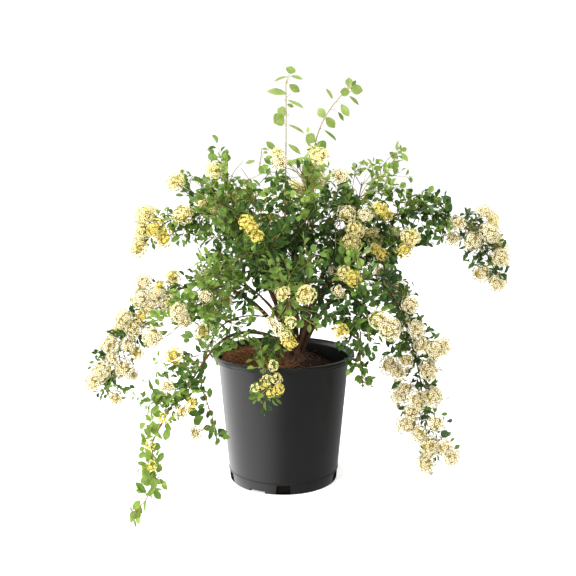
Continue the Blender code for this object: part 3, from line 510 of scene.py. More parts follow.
# Its florets: their number on a whole head, how far down they reach, their size and how they face
HEAD_FLORETS = 112
HEAD_FEWEST = 9
HEAD_FLORET_SPREAD = (0.9, 1.1)
HEAD_COVER = 1.55
FLORET_TURN = 0.2
FLORET_RADIUS = 0.0033
FLORET_SIZES = (0.82, 1.12)
BUD_SHARES = {"cream": 0.05, "pale": 0.12, "gold": 0.22}
BUD_SIZES = (0.0013, 0.0020)
STALK_EVERY = 3
STALK_SIDES = 3
STALK_BELOW = 0.0004
STALK_RADII = (0.00045, 0.0003)
# The core under them, for a head of at least this share of a whole one
HEAD_CORE = 0.74
HEAD_LEAST_CORED = 0.5
# Which way a head faces, and its size, where the photograph shows it
HEAD_OUTWARD = 0.5
HEAD_TO_VIEWER = 0.75
HEAD_WANDER = 0.25
SEEN_HEAD_SIZES = (0.92, 1.05)
# Heads that the source's rule puts at the back and inside
OWN_HEAD_TONES = {"cream": 6, "pale": 3, "gold": 1}
OWN_HEAD_WANDER = 0.3
OWN_HEAD_SIZES = (0.85, 1.1)
OWN_HEAD_BEHIND = 0.012
# Leaves keep off a head and off the line of sight to it
HEAD_CLEAR = 1.15
SIGHT_LENGTH = 0.05
SIGHT_RADIUS = 0.011
# Which stem bears what is seen at a pixel: what it costs to be off the line of sight and far away. Then how
# far ahead of the stem it stands, and the twig that leads to it
BEARER_STEPS = 24
OFF_FREE = 0.9
OFF_COST = 8
NEAR_FAVOUR = 3.0
FORWARD_SHARE = 0.6
SPRAY_FORWARD = (0.1, 0.8)
SPRAY_OUTWARD = 0.6
SPRAY_TO_LIGHT = 0.4
ROOT_BACK = 0.5
SEEN_TWIG_PULL = 0.35
SEEN_TWIG_END = 0.2
SEEN_TWIG_STEPS = 6
SEEN_TWIG_RADII = (0.0009, 0.0005)
SEEN_TWIG_BARE = 0.15
SEEN_TWIG_SPACING = 0.9
SEEN_TWIG_LEAF = 0.95

# Leaves that show singly in the photograph: the pixels at the base and at the tip, and the width in pixels
SEEN_LEAVES = {
    "young": (
        (289.5, 74, 292, 66, 8), (290.5, 76, 303.5, 79, 3), (288, 76.5, 273.5, 81, 2),
        (289, 84.5, 300, 92, 6), (287, 94, 267, 90.5, 5), (287.5, 100, 304.5, 108, 3),
        (287, 104, 294, 107, 3), (287, 114, 277, 109, 8), (284, 116, 274, 123, 11),
        (288, 124.5, 305, 133, 2.5), (276, 150, 266, 141.5, 5), (288, 144, 301, 154, 4),
        (349, 88, 349, 77, 6), (350, 88, 363, 91, 8), (350, 92, 340, 92, 7), (332.5, 99.5, 326.5, 88, 2.5),
        (349, 96, 359.5, 105, 3), (341, 104, 349, 116.5, 6), (325, 118, 318, 108, 7),
        (326, 117, 335, 128, 7), (315, 142, 306, 135, 9), (306, 157, 290, 165, 3.5),
        (255.5, 161, 245, 163, 3), (268, 149, 262, 149, 2), (263, 152, 268, 153, 2),
        (243, 180, 250, 182, 2), (144, 397, 144, 391, 3), (134, 519.5, 132.5, 510.5, 5.5),
        (396.5, 151, 398, 140, 2.5), (401, 151, 400, 144, 1.5), (354, 168, 354, 162, 3),
        (363, 166, 364, 159, 2.5), (361, 170, 367, 168, 2.5), (357, 175, 361, 174, 2.5),
    ),
    "bright": (
        (158, 357, 159, 350, 2), (152.5, 360, 156, 358.5, 3.5), (154, 365, 159, 361, 2),
        (142, 401, 147, 399.5, 2), (152, 401, 154, 392, 3), (160, 406, 150, 413, 5),
        (165, 405.5, 168, 398, 3.5), (165.5, 413, 166, 408, 3), (161, 420, 159, 414, 3),
        (167, 421.5, 176, 415.5, 3), (168.5, 427, 165, 441, 6), (145, 442, 141, 432, 3),
        (149, 438, 147.5, 424, 3.5), (148, 447, 142, 438, 4), (145, 448, 139, 450, 4),
        (144.5, 451, 139.5, 459, 4.5), (147, 453, 151, 463, 6), (153, 462, 149, 472, 6),
        (150, 478, 142, 470, 4), (146, 476.5, 141.5, 484, 4.5), (153, 477, 154.5, 490, 5.5),
        (145.5, 502, 144.5, 512, 1.5), (141, 506, 136.5, 515, 6), (132, 512, 130, 506.5, 1.2),
        (134, 519.5, 136, 528, 1.8), (401, 150.5, 407, 148.5, 4), (151, 438, 144, 428, 4),
        (149, 442, 140, 444, 4), (153, 432, 146, 425, 3.5), (151, 460, 143, 452, 4),
        (153, 471, 145, 464, 4.5), (151, 484, 154, 470, 5), (149, 447, 141, 439, 4),
        (152, 456, 145, 448, 4), (150, 477, 142, 466, 4), (156, 431, 152, 420, 3.5),
        (153, 487, 149, 497, 4), (401, 152.5, 408, 161.5, 4), (396, 158.5, 393, 152, 4.5),
        (376, 159.5, 384.5, 161.5, 2), (391, 169, 389, 162, 3.5), (390.5, 163, 399, 167, 7.5),
        (394, 167, 395.5, 174, 3), (386, 177, 394.5, 186, 4), (400, 188, 406, 182.5, 5),
        (407, 190, 410.5, 200.5, 5), (417, 198, 424, 195, 3), (429, 193, 433, 185.5, 4.5),
        (430, 195, 438, 199, 2.5), (436, 196, 440, 206, 5), (349, 361, 353, 368, 4),
        (350, 368, 347, 376, 4),
    ),
    "mid": (
        (352, 87, 356, 80, 3), (338, 112, 344, 121, 3), (324, 130, 337, 140.5, 2.5),
        (318, 142, 326, 148, 8), (264, 158, 271, 164, 4), (158, 404, 157.5, 393, 4.5),
        (165, 407, 160, 405.5, 2.5), (152.5, 425.5, 156, 435.5, 5), (151.5, 445, 161, 448, 6.5),
        (157.5, 462.5, 163.5, 452, 5), (157.5, 473, 160.5, 464, 5), (149, 466.5, 137, 462, 3.5),
        (146, 493.5, 135.5, 482, 4.5), (159.5, 478.5, 166, 487.5, 3), (153.5, 490, 161, 499.5, 5),
        (198, 380, 205, 382.5, 4), (197, 384, 191, 390, 6), (204, 416.5, 193, 421, 6),
        (201, 418, 194, 425, 6), (209.5, 398, 210, 387.5, 4.5), (207, 400, 199.5, 397, 4),
        (212, 427, 203, 428.5, 5), (208, 415, 213.5, 411, 5), (213, 426, 211, 418, 3),
        (214.5, 426, 215.5, 419.5, 2.5), (216, 428, 216, 438, 2.5), (217, 437, 217, 444, 1.3),
        (194, 337, 184, 331, 5), (192, 338, 180, 335, 4), (190, 340, 183, 341, 4),
        (184, 196, 175, 194.5, 2.5), (158, 220, 151, 214, 3), (385.5, 173, 383.5, 167.5, 2.5),
        (401, 189, 405, 192, 2.5), (419, 320, 424.5, 314, 2.5), (429, 332, 430, 325, 2),
        (434, 339.5, 440, 332.5, 3), (378, 335, 383, 343.5, 2), (375, 323, 379, 332, 2.5),
        (377, 323, 374, 315, 2.5), (430, 385, 438.5, 380, 3), (441, 414.5, 448, 413.5, 3),
        (446, 436, 451, 432, 3), (450, 442, 454.5, 437.5, 2), (454, 449, 460, 445, 3),
        (365, 383, 371, 384, 4),
    ),
    "dark": (
        (203, 361, 205, 370, 6), (199, 372, 201, 380, 5), (184, 389, 185.5, 399, 7),
        (190, 401.5, 198.5, 405, 6), (187, 407, 198, 416, 7), (197, 415, 205, 408, 5),
        (206.5, 401, 204, 393.5, 3), (208, 411, 207.5, 419, 3), (218, 428.5, 226, 437, 6.5),
        (213.5, 429.5, 208.5, 440, 3.5), (186, 308, 196, 320, 3), (140.5, 336, 150, 347, 3),
        (378, 191, 383, 183, 5), (422, 196, 423, 190, 1.5), (426, 197, 429, 201, 1.5),
        (445, 197, 446, 190, 1.5), (452, 204, 445, 214, 6), (467, 215, 465, 206.5, 2),
        (444.5, 234, 441.5, 241, 1.8), (469, 251, 463, 260.5, 3), (475, 261.5, 468, 269, 3),
        (477, 260, 473, 255.5, 3.5), (503, 248.5, 506, 239.5, 3), (500, 274, 506, 280, 7),
        (499, 282, 494, 291, 2.5), (499, 268, 493, 270, 3), (394.5, 340, 386, 342, 5.5),
        (392, 352, 381, 355, 3), (405, 350, 396, 347, 6), (377, 350, 373, 346, 5), (396, 368, 403, 373, 4),
        (402, 380, 391, 389, 4), (409, 405, 399, 410, 2), (429, 446, 420, 446, 5), (427, 455, 418, 460, 3),
        (430, 452, 435, 454, 4),
    ),
    "blue": (
        (443, 203, 451, 197, 8), (442, 438, 447, 430, 6),
    ),
}
# Bare twigs that show in the photograph, by the pixels that each passes through
SEEN_TWIGS = (
    ((259, 170), (262, 148)), ((255, 188), (241, 168)), ((354, 174), (364, 160)), ((169, 409), (148, 398)),
    ((376, 173), (390, 157), (399, 151)), ((383, 178), (390, 168)), ((200, 230), (218, 243)),
    ((191, 239), (217, 257)), ((191, 179), (205, 184)), ((482, 250), (495, 260)), ((206, 346), (194, 337)),
)
SEEN_TAN_TWIGS = (
    ((311, 262), (312, 232), (314, 198)), ((257, 212), (248, 188)), ((313, 196), (316, 160)),
)
# The ends of stems that show against the sky, by the pixels that each passes through
SEEN_STEMS = {
    "left_front": ((216, 346), (208, 358), (190, 382), (170, 408), (161, 425), (152, 443), (153, 463),
                   (155, 478), (146, 500), (135, 512)),
    "left_rim": ((204, 372), (205, 392), (207, 402), (212, 416), (215, 427), (217, 443)),
    "right_rim": ((362, 310), (360, 345), (361, 370), (363, 386)),
}
# Rows of pixels over which a stem comes to the pixels that it shows at
STEM_BEND_RUN = 30
# The stem inside a mass is slimmer than the cane, and the length, as a share of the cane, over which it thins
STEM_GIRTH = 0.68
STEM_SLIM_RUN = 0.06
STEM_FINEST = 0.0010
# Masses that have only what shows in the photograph, without the twigs of the source's rule
SEEN_ONLY = ("left_rim", "top_left", "top_right")
# A leaf that shows singly: its width beside its length, how much fuller than its pixels it is, high up and
# low down, and how far it leans to or from the camera
SEEN_LEAF_WIDTH = 0.48
SEEN_LEAF_FULL = 1.3
LOW_LEAF_FULL = 1.45
SEEN_LEAF_LEAN = 0.25
SEEN_LEAF_RELIEF = 0.7
# One that shows this near to a head comes forward to clear it, but not by more than this
CLEAR_PIXELS = 14
CLEAR_MOST = 0.014
# Its stalk, where it stands off the wood
STALK_SHORTEST = 0.002
LEAF_STALK_BOW = 0.08
LEAF_STALK_RADII = (0.0006, 0.0004)
# Bare twigs: radius at the foot and its share at the tip, and the step towards the camera at each pixel
BARE_WOODY = 0.0009
BARE_TAN = 0.0016
BARE_TAPER = 0.6
BARE_FORWARD = 0.004
BARE_STEPS = 10
# The wood that leaves which show singly grow from: its steps, and how many before the nearest the twig starts
HOLD_STEPS = 60
HOLD_BACK = 2

# Open sky beside and inside the plant in the photograph, by the pixels of its outline
SKY = (
    ((60, 130), (206, 130), (206, 150), (208, 158), (203, 160), (203, 164), (211, 165), (209, 172),
     (204, 174), (199, 178), (196, 172), (190, 176), (187, 169), (183, 169), (178, 172), (168, 175),
     (163, 181), (162, 189), (167, 190), (172, 188), (176, 190), (184, 193), (189, 197), (188, 203),
     (184, 207), (171, 207), (166, 203), (159, 206), (157, 212), (150, 212), (149, 208), (137, 209),
     (133, 213), (131, 230), (129, 255), (60, 256)),
    ((187, 177), (196, 181), (204, 185), (200, 189), (194, 193), (188, 190)),
    ((228, 130), (258, 130), (260, 158), (256, 166), (262, 172), (262, 182), (250, 178), (238, 176),
     (228, 178), (224, 168), (230, 160)),
    ((60, 256), (131, 254), (140, 254), (150, 249), (160, 251), (172, 248), (184, 248), (192, 246),
     (196, 246), (194, 256), (196, 262), (190, 266), (180, 270), (172, 267), (163, 270), (160, 277),
     (154, 279), (152, 270), (148, 276), (138, 273), (133, 285), (131, 297), (125, 300), (60, 300)),
    ((60, 300), (125, 300), (127, 305), (122, 308), (115, 314), (113, 322), (115, 330), (104, 328),
     (100, 334), (98, 350), (60, 350)),
    ((150, 345), (158, 345), (164, 332), (160, 322), (166, 318), (174, 325), (188, 328), (193, 322),
     (196, 330), (196, 345), (188, 352), (170, 350), (160, 355), (150, 352)),
    ((286, 128), (304, 128), (308, 150), (304, 156), (288, 160), (284, 150)),
    ((284, 162), (304, 166), (304, 186), (290, 186), (284, 172)),
    ((330, 128), (395, 128), (393, 142), (388, 158), (376, 158), (370, 152), (365, 158), (353, 163),
     (350, 170), (338, 168), (330, 163)),
    ((350, 178), (366, 170), (372, 176), (366, 192), (360, 196), (352, 190)),
    ((398, 172), (404, 172), (409, 180), (430, 176), (428, 184), (425, 192), (416, 192), (412, 188),
     (404, 182), (398, 180)),
    ((410, 128), (540, 128), (540, 300), (512, 300), (512, 262), (508, 240), (502, 222), (497, 210),
     (488, 205), (478, 204), (476, 212), (468, 205), (462, 213), (452, 214), (452, 196), (446, 188),
     (434, 184), (428, 176), (410, 168)),
    ((400, 262), (412, 250), (418, 246), (440, 246), (457, 247), (462, 262), (470, 272), (476, 280),
     (488, 285), (492, 292), (512, 292), (512, 330), (440, 330), (420, 300), (420, 288), (410, 279),
     (401, 275)),
    ((419, 296), (440, 290), (460, 340), (451, 338), (443, 341), (436, 330), (428, 322), (422, 316),
     (417, 310)),
    ((357, 388), (375, 388), (378, 372), (372, 362), (380, 356), (383, 373), (395, 375), (392, 385),
     (389, 395), (391, 404), (400, 411), (400, 420), (401, 430), (412, 436), (418, 446), (417, 470),
     (345, 470), (344, 400)),
    ((100, 410), (140, 410), (138, 430), (137, 460), (134, 480), (129, 505), (128, 530), (100, 530)),
    ((165, 443), (180, 430), (200, 441), (222, 447), (226, 500), (160, 530), (140, 530), (148, 512),
     (163, 500), (168, 488), (163, 475), (164, 462)),
    ((206, 362), (212, 360), (220, 370), (223, 392), (225, 425), (219, 427), (214, 408), (211, 386),
     (206, 374)),
)
# Smaller patches of it: the pixel at the middle and a radius
SKY_GAPS = (
    (266, 300, 10), (263, 318, 9), (180, 260, 9), (290, 253, 5), (340, 225, 5), (374, 309, 5),
    (329, 335, 5), (141, 500, 5), (152, 507, 6),
)


# Materials

def add_node(tree, kind, values):
    """A shader node with constants on its inputs."""
    made = tree.nodes.new("ShaderNode" + kind)
    for socket, value in values.items():
        made.inputs[socket].default_value = value
    return made


def link(tree, source, output, target, socket):
    tree.links.new(source.outputs[output], target.inputs[socket])


def shader_of(name, roughness, specular):
    material = bpy.data.materials.new(name)
    material.use_nodes = True
    shader = material.node_tree.nodes["Principled BSDF"]
    shader.inputs["Roughness"].default_value = roughness
    shader.inputs["Specular IOR Level"].default_value = specular
    shader.inputs["Metallic"].default_value = 0.0
    return material, material.node_tree, shader


def wandering_colour(tree, shader, low, high, scale, stretch=(1, 1, 1)):
    """A base colour that wanders between two tones, by noise at this scale per metre."""
    coordinates = add_node(tree, "TexCoord", {})
    mapping = add_node(tree, "Mapping", {"Scale": stretch})
    pattern = add_node(tree, "TexNoise", {"Scale": scale, "Detail": TONE_DETAIL})
    ramp = add_node(tree, "ValToRGB", {})
    for element, position, colour in zip(ramp.color_ramp.elements, TONE_STOPS, (low, high)):
        element.position = position
        element.color = (*colour, 1)
    link(tree, coordinates, "Object", mapping, "Vector")
    link(tree, mapping, "Vector", pattern, "Vector")
    link(tree, pattern, "Fac", ramp, "Fac")
    link(tree, ramp, "Color", shader, "Base Color")
    return pattern


def bumped(tree, shader, pattern_scale, strength, distance):
    """Fine relief, by noise at this scale per metre."""
    coordinates = add_node(tree, "TexCoord", {})
    pattern = add_node(tree, "TexNoise", {"Scale": pattern_scale, "Detail": RELIEF_DETAIL})
    bump = add_node(tree, "Bump", {"Strength": strength, "Distance": distance})
    link(tree, coordinates, "Object", pattern, "Vector")
    link(tree, pattern, "Fac", bump, "Height")
    link(tree, bump, "Normal", shader, "Normal")


def shade_of(colour, factor):
    return tuple(min(1, channel * factor) for channel in colour)


def thin_finish(name, colour, spread, roughness, through, scale):
    """A thin leaf or petal: two close tones of one colour, with some light let through."""
    material, tree, shader = shader_of(name, roughness, THIN_GLOSS)
    wandering_colour(tree, shader, shade_of(colour, 1 - spread), shade_of(colour, 1 + spread), scale)
    glow = add_node(tree, "BsdfTranslucent", {"Color": (*shade_of(colour, GLOW_SHADE), 1)})
    mix = add_node(tree, "MixShader", {"Fac": through})
    link(tree, shader, "BSDF", mix, 1)
    link(tree, glow, "BSDF", mix, 2)
    link(tree, mix, "Shader", tree.nodes["Material Output"], "Surface")
    return material


def rough_finish(name):
    low, high, scale, roughness, relief_scale, depth = ROUGH[name]
    material, tree, shader = shader_of(name, roughness, ROUGH_GLOSS)
    stretch = BARK_STRETCH if name.startswith("bark") else (1, 1, 1)
    wandering_colour(tree, shader, low, high, scale, stretch)
    bumped(tree, shader, relief_scale, ROUGH_RELIEF, depth)
    return material


def shade_pot_inside(tree, shader):
    """Less gloss on the pot's inner wall, further in than the middle of the wall at the same height: painted
    shade, so that the inside shows dark.
    """
    slope = (BODY_TOP_RADIUS - BASE_RADIUS) / (POT_HEIGHT - LIP_BAND - STEP_BAND)
    coordinates = add_node(tree, "TexCoord", {})
    split = add_node(tree, "SeparateXYZ", {})
    level = add_node(tree, "VectorMath", {1: (1, 1, 0)})
    level.operation = "MULTIPLY"
    radius = add_node(tree, "VectorMath", {})
    radius.operation = "LENGTH"
    middle = add_node(tree, "Math", {1: slope, 2: BASE_RADIUS - POT_WALL / 2})
    middle.operation = "MULTIPLY_ADD"
    inside = add_node(tree, "Math", {})
    inside.operation = "LESS_THAN"
    gloss = add_node(tree, "MapRange", {"To Min": PLASTIC_GLOSS, "To Max": INSIDE_SHADE_GLOSS})
    link(tree, coordinates, "Object", split, "Vector")
    link(tree, coordinates, "Object", level, 0)
    link(tree, level, "Vector", radius, 0)
    link(tree, split, "Z", middle, 0)
    link(tree, radius, "Value", inside, 0)
    link(tree, middle, "Value", inside, 1)
    link(tree, inside, "Value", gloss, "Value")
    link(tree, gloss, "Result", shader, "Specular IOR Level")


def plastic_finish():
    material, tree, shader = shader_of("black_plastic", PLASTIC_ROUGHNESS, PLASTIC_GLOSS)
    shade_pot_inside(tree, shader)
    pattern = wandering_colour(tree, shader, *PLASTIC_TONES, PLASTIC_SCALE)
    level = add_node(tree, "MapRange", {"To Min": PLASTIC_SMOOTHEST, "To Max": PLASTIC_ROUGHEST})
    link(tree, pattern, "Fac", level, "Value")
    link(tree, level, "Result", shader, "Roughness")
    bumped(tree, shader, *PLASTIC_GRAIN)
    return material


# Meshes

def piece(name, points, faces, finish, slot, nodes, smooth=True):
    """One piece of the model: it rides on the plant's only body and stands for these CAD nodes."""
    mesh = bpy.data.meshes.new(name)
    mesh.from_pydata(points, [], faces)
    mesh.materials.append(finish)
    if smooth:
        mesh.shade_smooth()
    made = bpy.data.objects.new(name, mesh)
    bpy.context.scene.collection.objects.link(made)
    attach(made, "root")
    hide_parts(*nodes)
    return made


def turned(profile, sides):
    """The closed surface that a profile of (radius, height) makes as it turns about the Z axis."""
    points = []
    rings = []
    for radius, height in profile:
        count = sides if radius > 0 else 1
        rings.append(range(len(points), len(points) + count))
        for side in range(count):
            angle = math.tau * side / sides
            points.append((radius * math.cos(angle), radius * math.sin(angle), height))
    faces = []
    for low, high in zip(rings, rings[1:] + rings[:1]):
        if len(low) == 1 and len(high) == 1:
            continue
        for side in range(sides):
            after = (side + 1) % sides
            face = [low[side % len(low)], low[after % len(low)],
                    high[after % len(high)], high[side % len(high)]]
            faces.append(tuple(dict.fromkeys(face)))
    return points, faces


def ring_faces(start, rings, sides):
    """The faces between rings of points that follow one another."""
    faces = []
    for ring in range(rings - 1):
        low = start + ring * sides
        high = low + sides
        for side in range(sides):
            after = (side + 1) % sides
            faces.append((low + side, low + after, high + after, high + side))
    return faces


def fan(sides):
    """The faces from a top point, number 0, to the first ring round it."""
    return [(0, 1 + side, 1 + (side + 1) % sides) for side in range(sides)]


def octahedron():
    points = [(1, 0, 0), (0, 1, 0), (-1, 0, 0), (0, -1, 0), (0, 0, 1), (0, 0, -1)]
    faces = [(0, 1, 4), (1, 2, 4), (2, 3, 4), (3, 0, 4), (1, 0, 5), (2, 1, 5), (3, 2, 5), (0, 3, 5)]
    return points, faces


class Stamps:
    """Many copies of a few small shapes, gathered and then joined into one mesh."""

    def __init__(self, shapes):
        self.shapes = [(np.array(points, float), np.array(triangles, int)) for points, triangles in shapes]
        self.frames = [[] for shape in shapes]
        self.origins = [[] for shape in shapes]

    def add(self, which, origin, across, along, up):
        """One copy, with its own axes as three scaled directions."""
        self.frames[which].append((tuple(across), tuple(along), tuple(up)))
        self.origins[which].append(tuple(origin))

    def joined(self):
        points, triangles, start = [], [], 0
        for (shape, faces), frames, origins in zip(self.shapes, self.frames, self.origins):
            if not origins:
                continue
            placed = np.einsum("pk,nkj->npj", shape, np.array(frames)) + np.array(origins)[:, None]
            count = len(origins)
            steps = np.arange(count)[:, None, None] * len(shape)
            points.append(placed.reshape(-1, 3))
            triangles.append((faces[None] + steps).reshape(-1, 3) + start)
            start += count * len(shape)
        return np.concatenate(points), np.concatenate(triangles)


class Tubes:
    """Tapering tubes along curves, gathered and then joined into one mesh."""

    def __init__(self, sides):
        self.sides = sides
        self.points = []
        self.faces = []

    def add(self, curve, radii, relief=None):
        """A tube through the points of a curve. relief(ring, side) scales its radius there."""
        curve = [Vector(point) for point in curve]
        angles = [math.tau * side / self.sides for side in range(self.sides)]
        across = None
        start = len(self.points)
        for ring, (centre, radius) in enumerate(zip(curve, radii)):
            tangent = (curve[min(ring + 1, len(curve) - 1)] - curve[max(ring - 1, 0)]).normalized()
            if across is None:
                across = tangent.orthogonal()
            across = (across - tangent * across.dot(tangent)).normalized()
            other = tangent.cross(across)
            for side, angle in enumerate(angles):
                local = radius * relief(ring, side) if relief else radius
                place = centre + (across * math.cos(angle) + other * math.sin(angle)) * local
                self.points.append(tuple(place))
        self.faces += ring_faces(start, len(curve), self.sides)
        last = start + (len(curve) - 1) * self.sides
        self.faces.append(tuple(start + side for side in reversed(range(self.sides))))
        self.faces.append(tuple(last + side for side in range(self.sides)))


# Curves, by the source's rule

def bezier(a, b, c, d, t):
    s = 1 - t
    return a * s ** 3 + 3 * b * s * s * t + 3 * c * s * t * t + d * t ** 3


def even_curve(points, steps):
    points = np.array(points)
    lengths = np.linalg.norm(np.diff(points, axis=0), axis=1)
    along = np.concatenate([[0], np.cumsum(lengths)])
    wanted = np.linspace(0, along[-1], steps + 1)
    return np.stack([np.interp(wanted, along, points[:, axis]) for axis in range(3)], axis=1)


def length_of(curve):
    return float(np.linalg.norm(np.diff(curve, axis=0), axis=1).sum())


def on_curve(curve, share):
    """The point and the direction at a share of the curve's length."""
    steps = len(curve) - 1
    place = min(max(share, 0.0), 1.0) * steps
    before = min(int(place), steps - 1)
    point = curve[before] + (curve[before + 1] - curve[before]) * (place - before)
    low = max(before - 1, 0)
    high = min(before + 2, steps)
    return Vector(point), Vector(curve[high] - curve[low]).normalized()


def cane_curve(cane):
    """A cane's middle line: an arch in the upright plane of its heading, with a slight weave."""
    foot_height = CLUMP.z + FOOT_DEPTH
    # The middle of a cubic holds an eighth of each end and three eighths of each control.
    rise = (cane.middle - (foot_height + cane.tip) / 8) / (6 / 8)
    phase = random.Random(cane.name).uniform(0, math.tau)
    heading = math.radians(cane.heading)
    foot = Vector((CLUMP.x + FOOT_SPREAD * math.cos(heading), CLUMP.y + FOOT_SPREAD * math.sin(heading), 0))
    points = []
    for step in range(CURVE_STEPS + 1):
        t = step / CURVE_STEPS
        out = bezier(0, cane.lean * cane.reach, cane.hang * cane.reach, cane.reach, t)
        wave = math.sin(WEAVE_WAVES * math.tau * t + phase)
        weave = WEAVE * wave * min(1, WEAVE_START * t) * (1 - t / 2)
        points.append((
            foot.x + out * math.cos(heading) - weave * math.sin(heading),
            foot.y + out * math.sin(heading) + weave * math.cos(heading),
            bezier(foot_height, rise, rise, cane.tip, t),
        ))
    return even_curve(points, CURVE_STEPS)


def cane_radius(cane, share):
    return CANE_TIP_RADIUS + (cane.girth - CANE_TIP_RADIUS) * max(0, 1 - share) ** GIRTH_FALL


Stem = namedtuple("Stem", "mass cane curve start end")


def stems_of(curves):
    """Each mass's own stretch of its cane."""
    stems = []
    last = None
    for mass in MASSES:
        cane = next(cane for cane in CANES if cane.name == mass.cane)
        curve = curves[cane.name]
        if last and last.cane is cane:
            start = last.end
        elif cane.bough:
            start = cane.bough
        else:
            start = STUB / length_of(curve)
        last = Stem(mass, cane, curve, start, mass.end)
        stems.append(last)
    return stems


def leaf_share(stem):
    """Where leaves begin on a stem: one with no bough is bare till it nears the rim."""
    return stem.start if stem.cane.bough else RIM_STEM_BARE


def outward(tangent, roll):
    """A direction square to the tangent: level at roll 0, and to the light at a quarter turn."""
    level = tangent.cross(UP)
    if level.length < NEARLY_UPRIGHT:
        level = tangent.orthogonal()
    level.normalize()
    return level * math.cos(roll) + level.cross(tangent) * math.sin(roll)


def fullness(along):
    """How much of a mass's reach its twigs take up at a place along it, most just before its middle."""
    return MASS_END + (1 - MASS_END) * math.sin(math.pi * min(1, along * MASS_RUN + MASS_START))


Twig = namedtuple("Twig", "base points flowers")


def twigs_of(stem):
    """The source's rule for a mass's twigs: turned by the golden angle, each bent up to the light."""
    mass = stem.mass
    rng = random.Random(mass.name + " twigs")
    first = leaf_share(stem)
    flowering = set(rng.sample(range(mass.twigs), mass.heads))
    turn = rng.uniform(0, math.tau)
    twigs = []
    for index in range(mass.twigs):
        along = (index + 0.5 + rng.uniform(-TWIG_JITTER, TWIG_JITTER)) / mass.twigs
        share = first + (stem.end - first) * (TWIG_FIRST + TWIG_RUN * along)
        base, tangent = on_curve(stem.curve, share)
        roll = turn + index * GOLDEN_ANGLE
        if index in flowering:
            roll = math.radians(90 + FLOWER_TURN * math.sin(roll))
        spread = math.radians(rng.uniform(*TWIG_SPREAD))
        way = tangent * math.cos(spread) + outward(tangent, roll) * math.sin(spread)
        length = mass.reach * fullness(along) * rng.uniform(*TWIG_LENGTHS)
        lift = rng.uniform(*TWIG_LIFT) * length
        if index in flowering:
            length *= FLOWER_LENGTH
        points = [base + way * length * step + UP * lift * step * step for step in (0, 0.5, 1)]
        twigs.append(Twig(base, points, index in flowering))
    return twigs


def light_from(place):
    """Where the light comes from at a place: from above, and from outside the crown."""
    away = (place - CROWN_MIDDLE).normalized()
    return UP * LIGHT_ABOVE + away * LIGHT_OUTSIDE


def nudged(direction, rng, most):
    """The direction moved by up to most along each axis."""
    return direction + Vector([rng.uniform(-most, most) for axis in range(3)])


# The photograph's lines of sight

FORWARD = Vector((0, math.cos(CAMERA_DIP), -math.sin(CAMERA_DIP)))
UPWARD = Vector((0, math.sin(CAMERA_DIP), math.cos(CAMERA_DIP)))


def sight_through(pixel):
    """The direction from the camera through a pixel."""
    right = (pixel[0] - IMAGE_SIDE / 2) / FOCAL_PIXELS
    up = (IMAGE_SIDE / 2 - pixel[1]) / FOCAL_PIXELS
    return (Vector((right, 0, 0)) + FORWARD + UPWARD * up).normalized()


def pixel_of(place):
    offset = place - CAMERA_PLACE
    depth = offset.dot(FORWARD)
    return (IMAGE_SIDE / 2 + FOCAL_PIXELS * offset.x / depth,
            IMAGE_SIDE / 2 - FOCAL_PIXELS * offset.dot(UPWARD) / depth)


def beside(place, pixel):
    """The place at the same depth from the camera as another, seen at a pixel."""
    sight = sight_through(pixel)
    return CAMERA_PLACE + sight * (place - CAMERA_PLACE).dot(FORWARD) / sight.dot(FORWARD)


def bent_to_sight(curve, pixels):
    """The curve with its lower end moved sideways, little by little, to the pixels that it shows at."""
    columns = [column for column, row in pixels]
    rows = [row for column, row in pixels]
    places = []
    for point in curve:
        place = Vector(point)
        column, row = pixel_of(place)
        if row > rows[0]:
            share = min(1, (row - rows[0]) / STEM_BEND_RUN)
            wanted = float(np.interp(row, rows, columns))
            place = beside(place, (column + (wanted - column) * share, row))
        places.append(tuple(place))
    return np.array(places)


def sky_pixels():
    """Which pixels are open sky, by the outlines and the smaller patches."""
    rows, columns = np.mgrid[0:IMAGE_SIDE, 0:IMAGE_SIDE] + 0.5
    sky = np.zeros(rows.shape, bool)
    for outline in SKY:
        inside = np.zeros(rows.shape, bool)
        for (x, y), (next_x, next_y) in zip(outline, outline[1:] + outline[:1]):
            if y != next_y:
                edge = x + (next_x - x) * (rows - y) / (next_y - y)
                inside ^= ((y > rows) != (next_y > rows)) & (columns < edge)
        sky |= inside
    for x, y, radius in SKY_GAPS:
        sky |= np.hypot(columns - x, rows - y) < radius
    return sky


OPEN_SKY = sky_pixels()


def in_sky(place):
    column, row = (math.floor(pixel) for pixel in pixel_of(place))
    return 0 <= column < IMAGE_SIDE and 0 <= row < IMAGE_SIDE and bool(OPEN_SKY[row, column])


# The pot and its mix

def wall_radius(height):
    """The outer radius of the pot's tapering body at a height."""
    body_top = POT_HEIGHT - LIP_BAND - STEP_BAND
    return BASE_RADIUS + (BODY_TOP_RADIUS - BASE_RADIUS) * height / body_top


def rounded(radius, height, size, steps=4):
    """Points of a quarter round that softens the profile's outer top corner, from its side to its top."""
    points = []
    for step in range(steps + 1):
        angle = math.pi / 2 * step / steps
        points.append((radius - size * (1 - math.cos(angle)), height - size * (1 - math.sin(angle))))
    return points


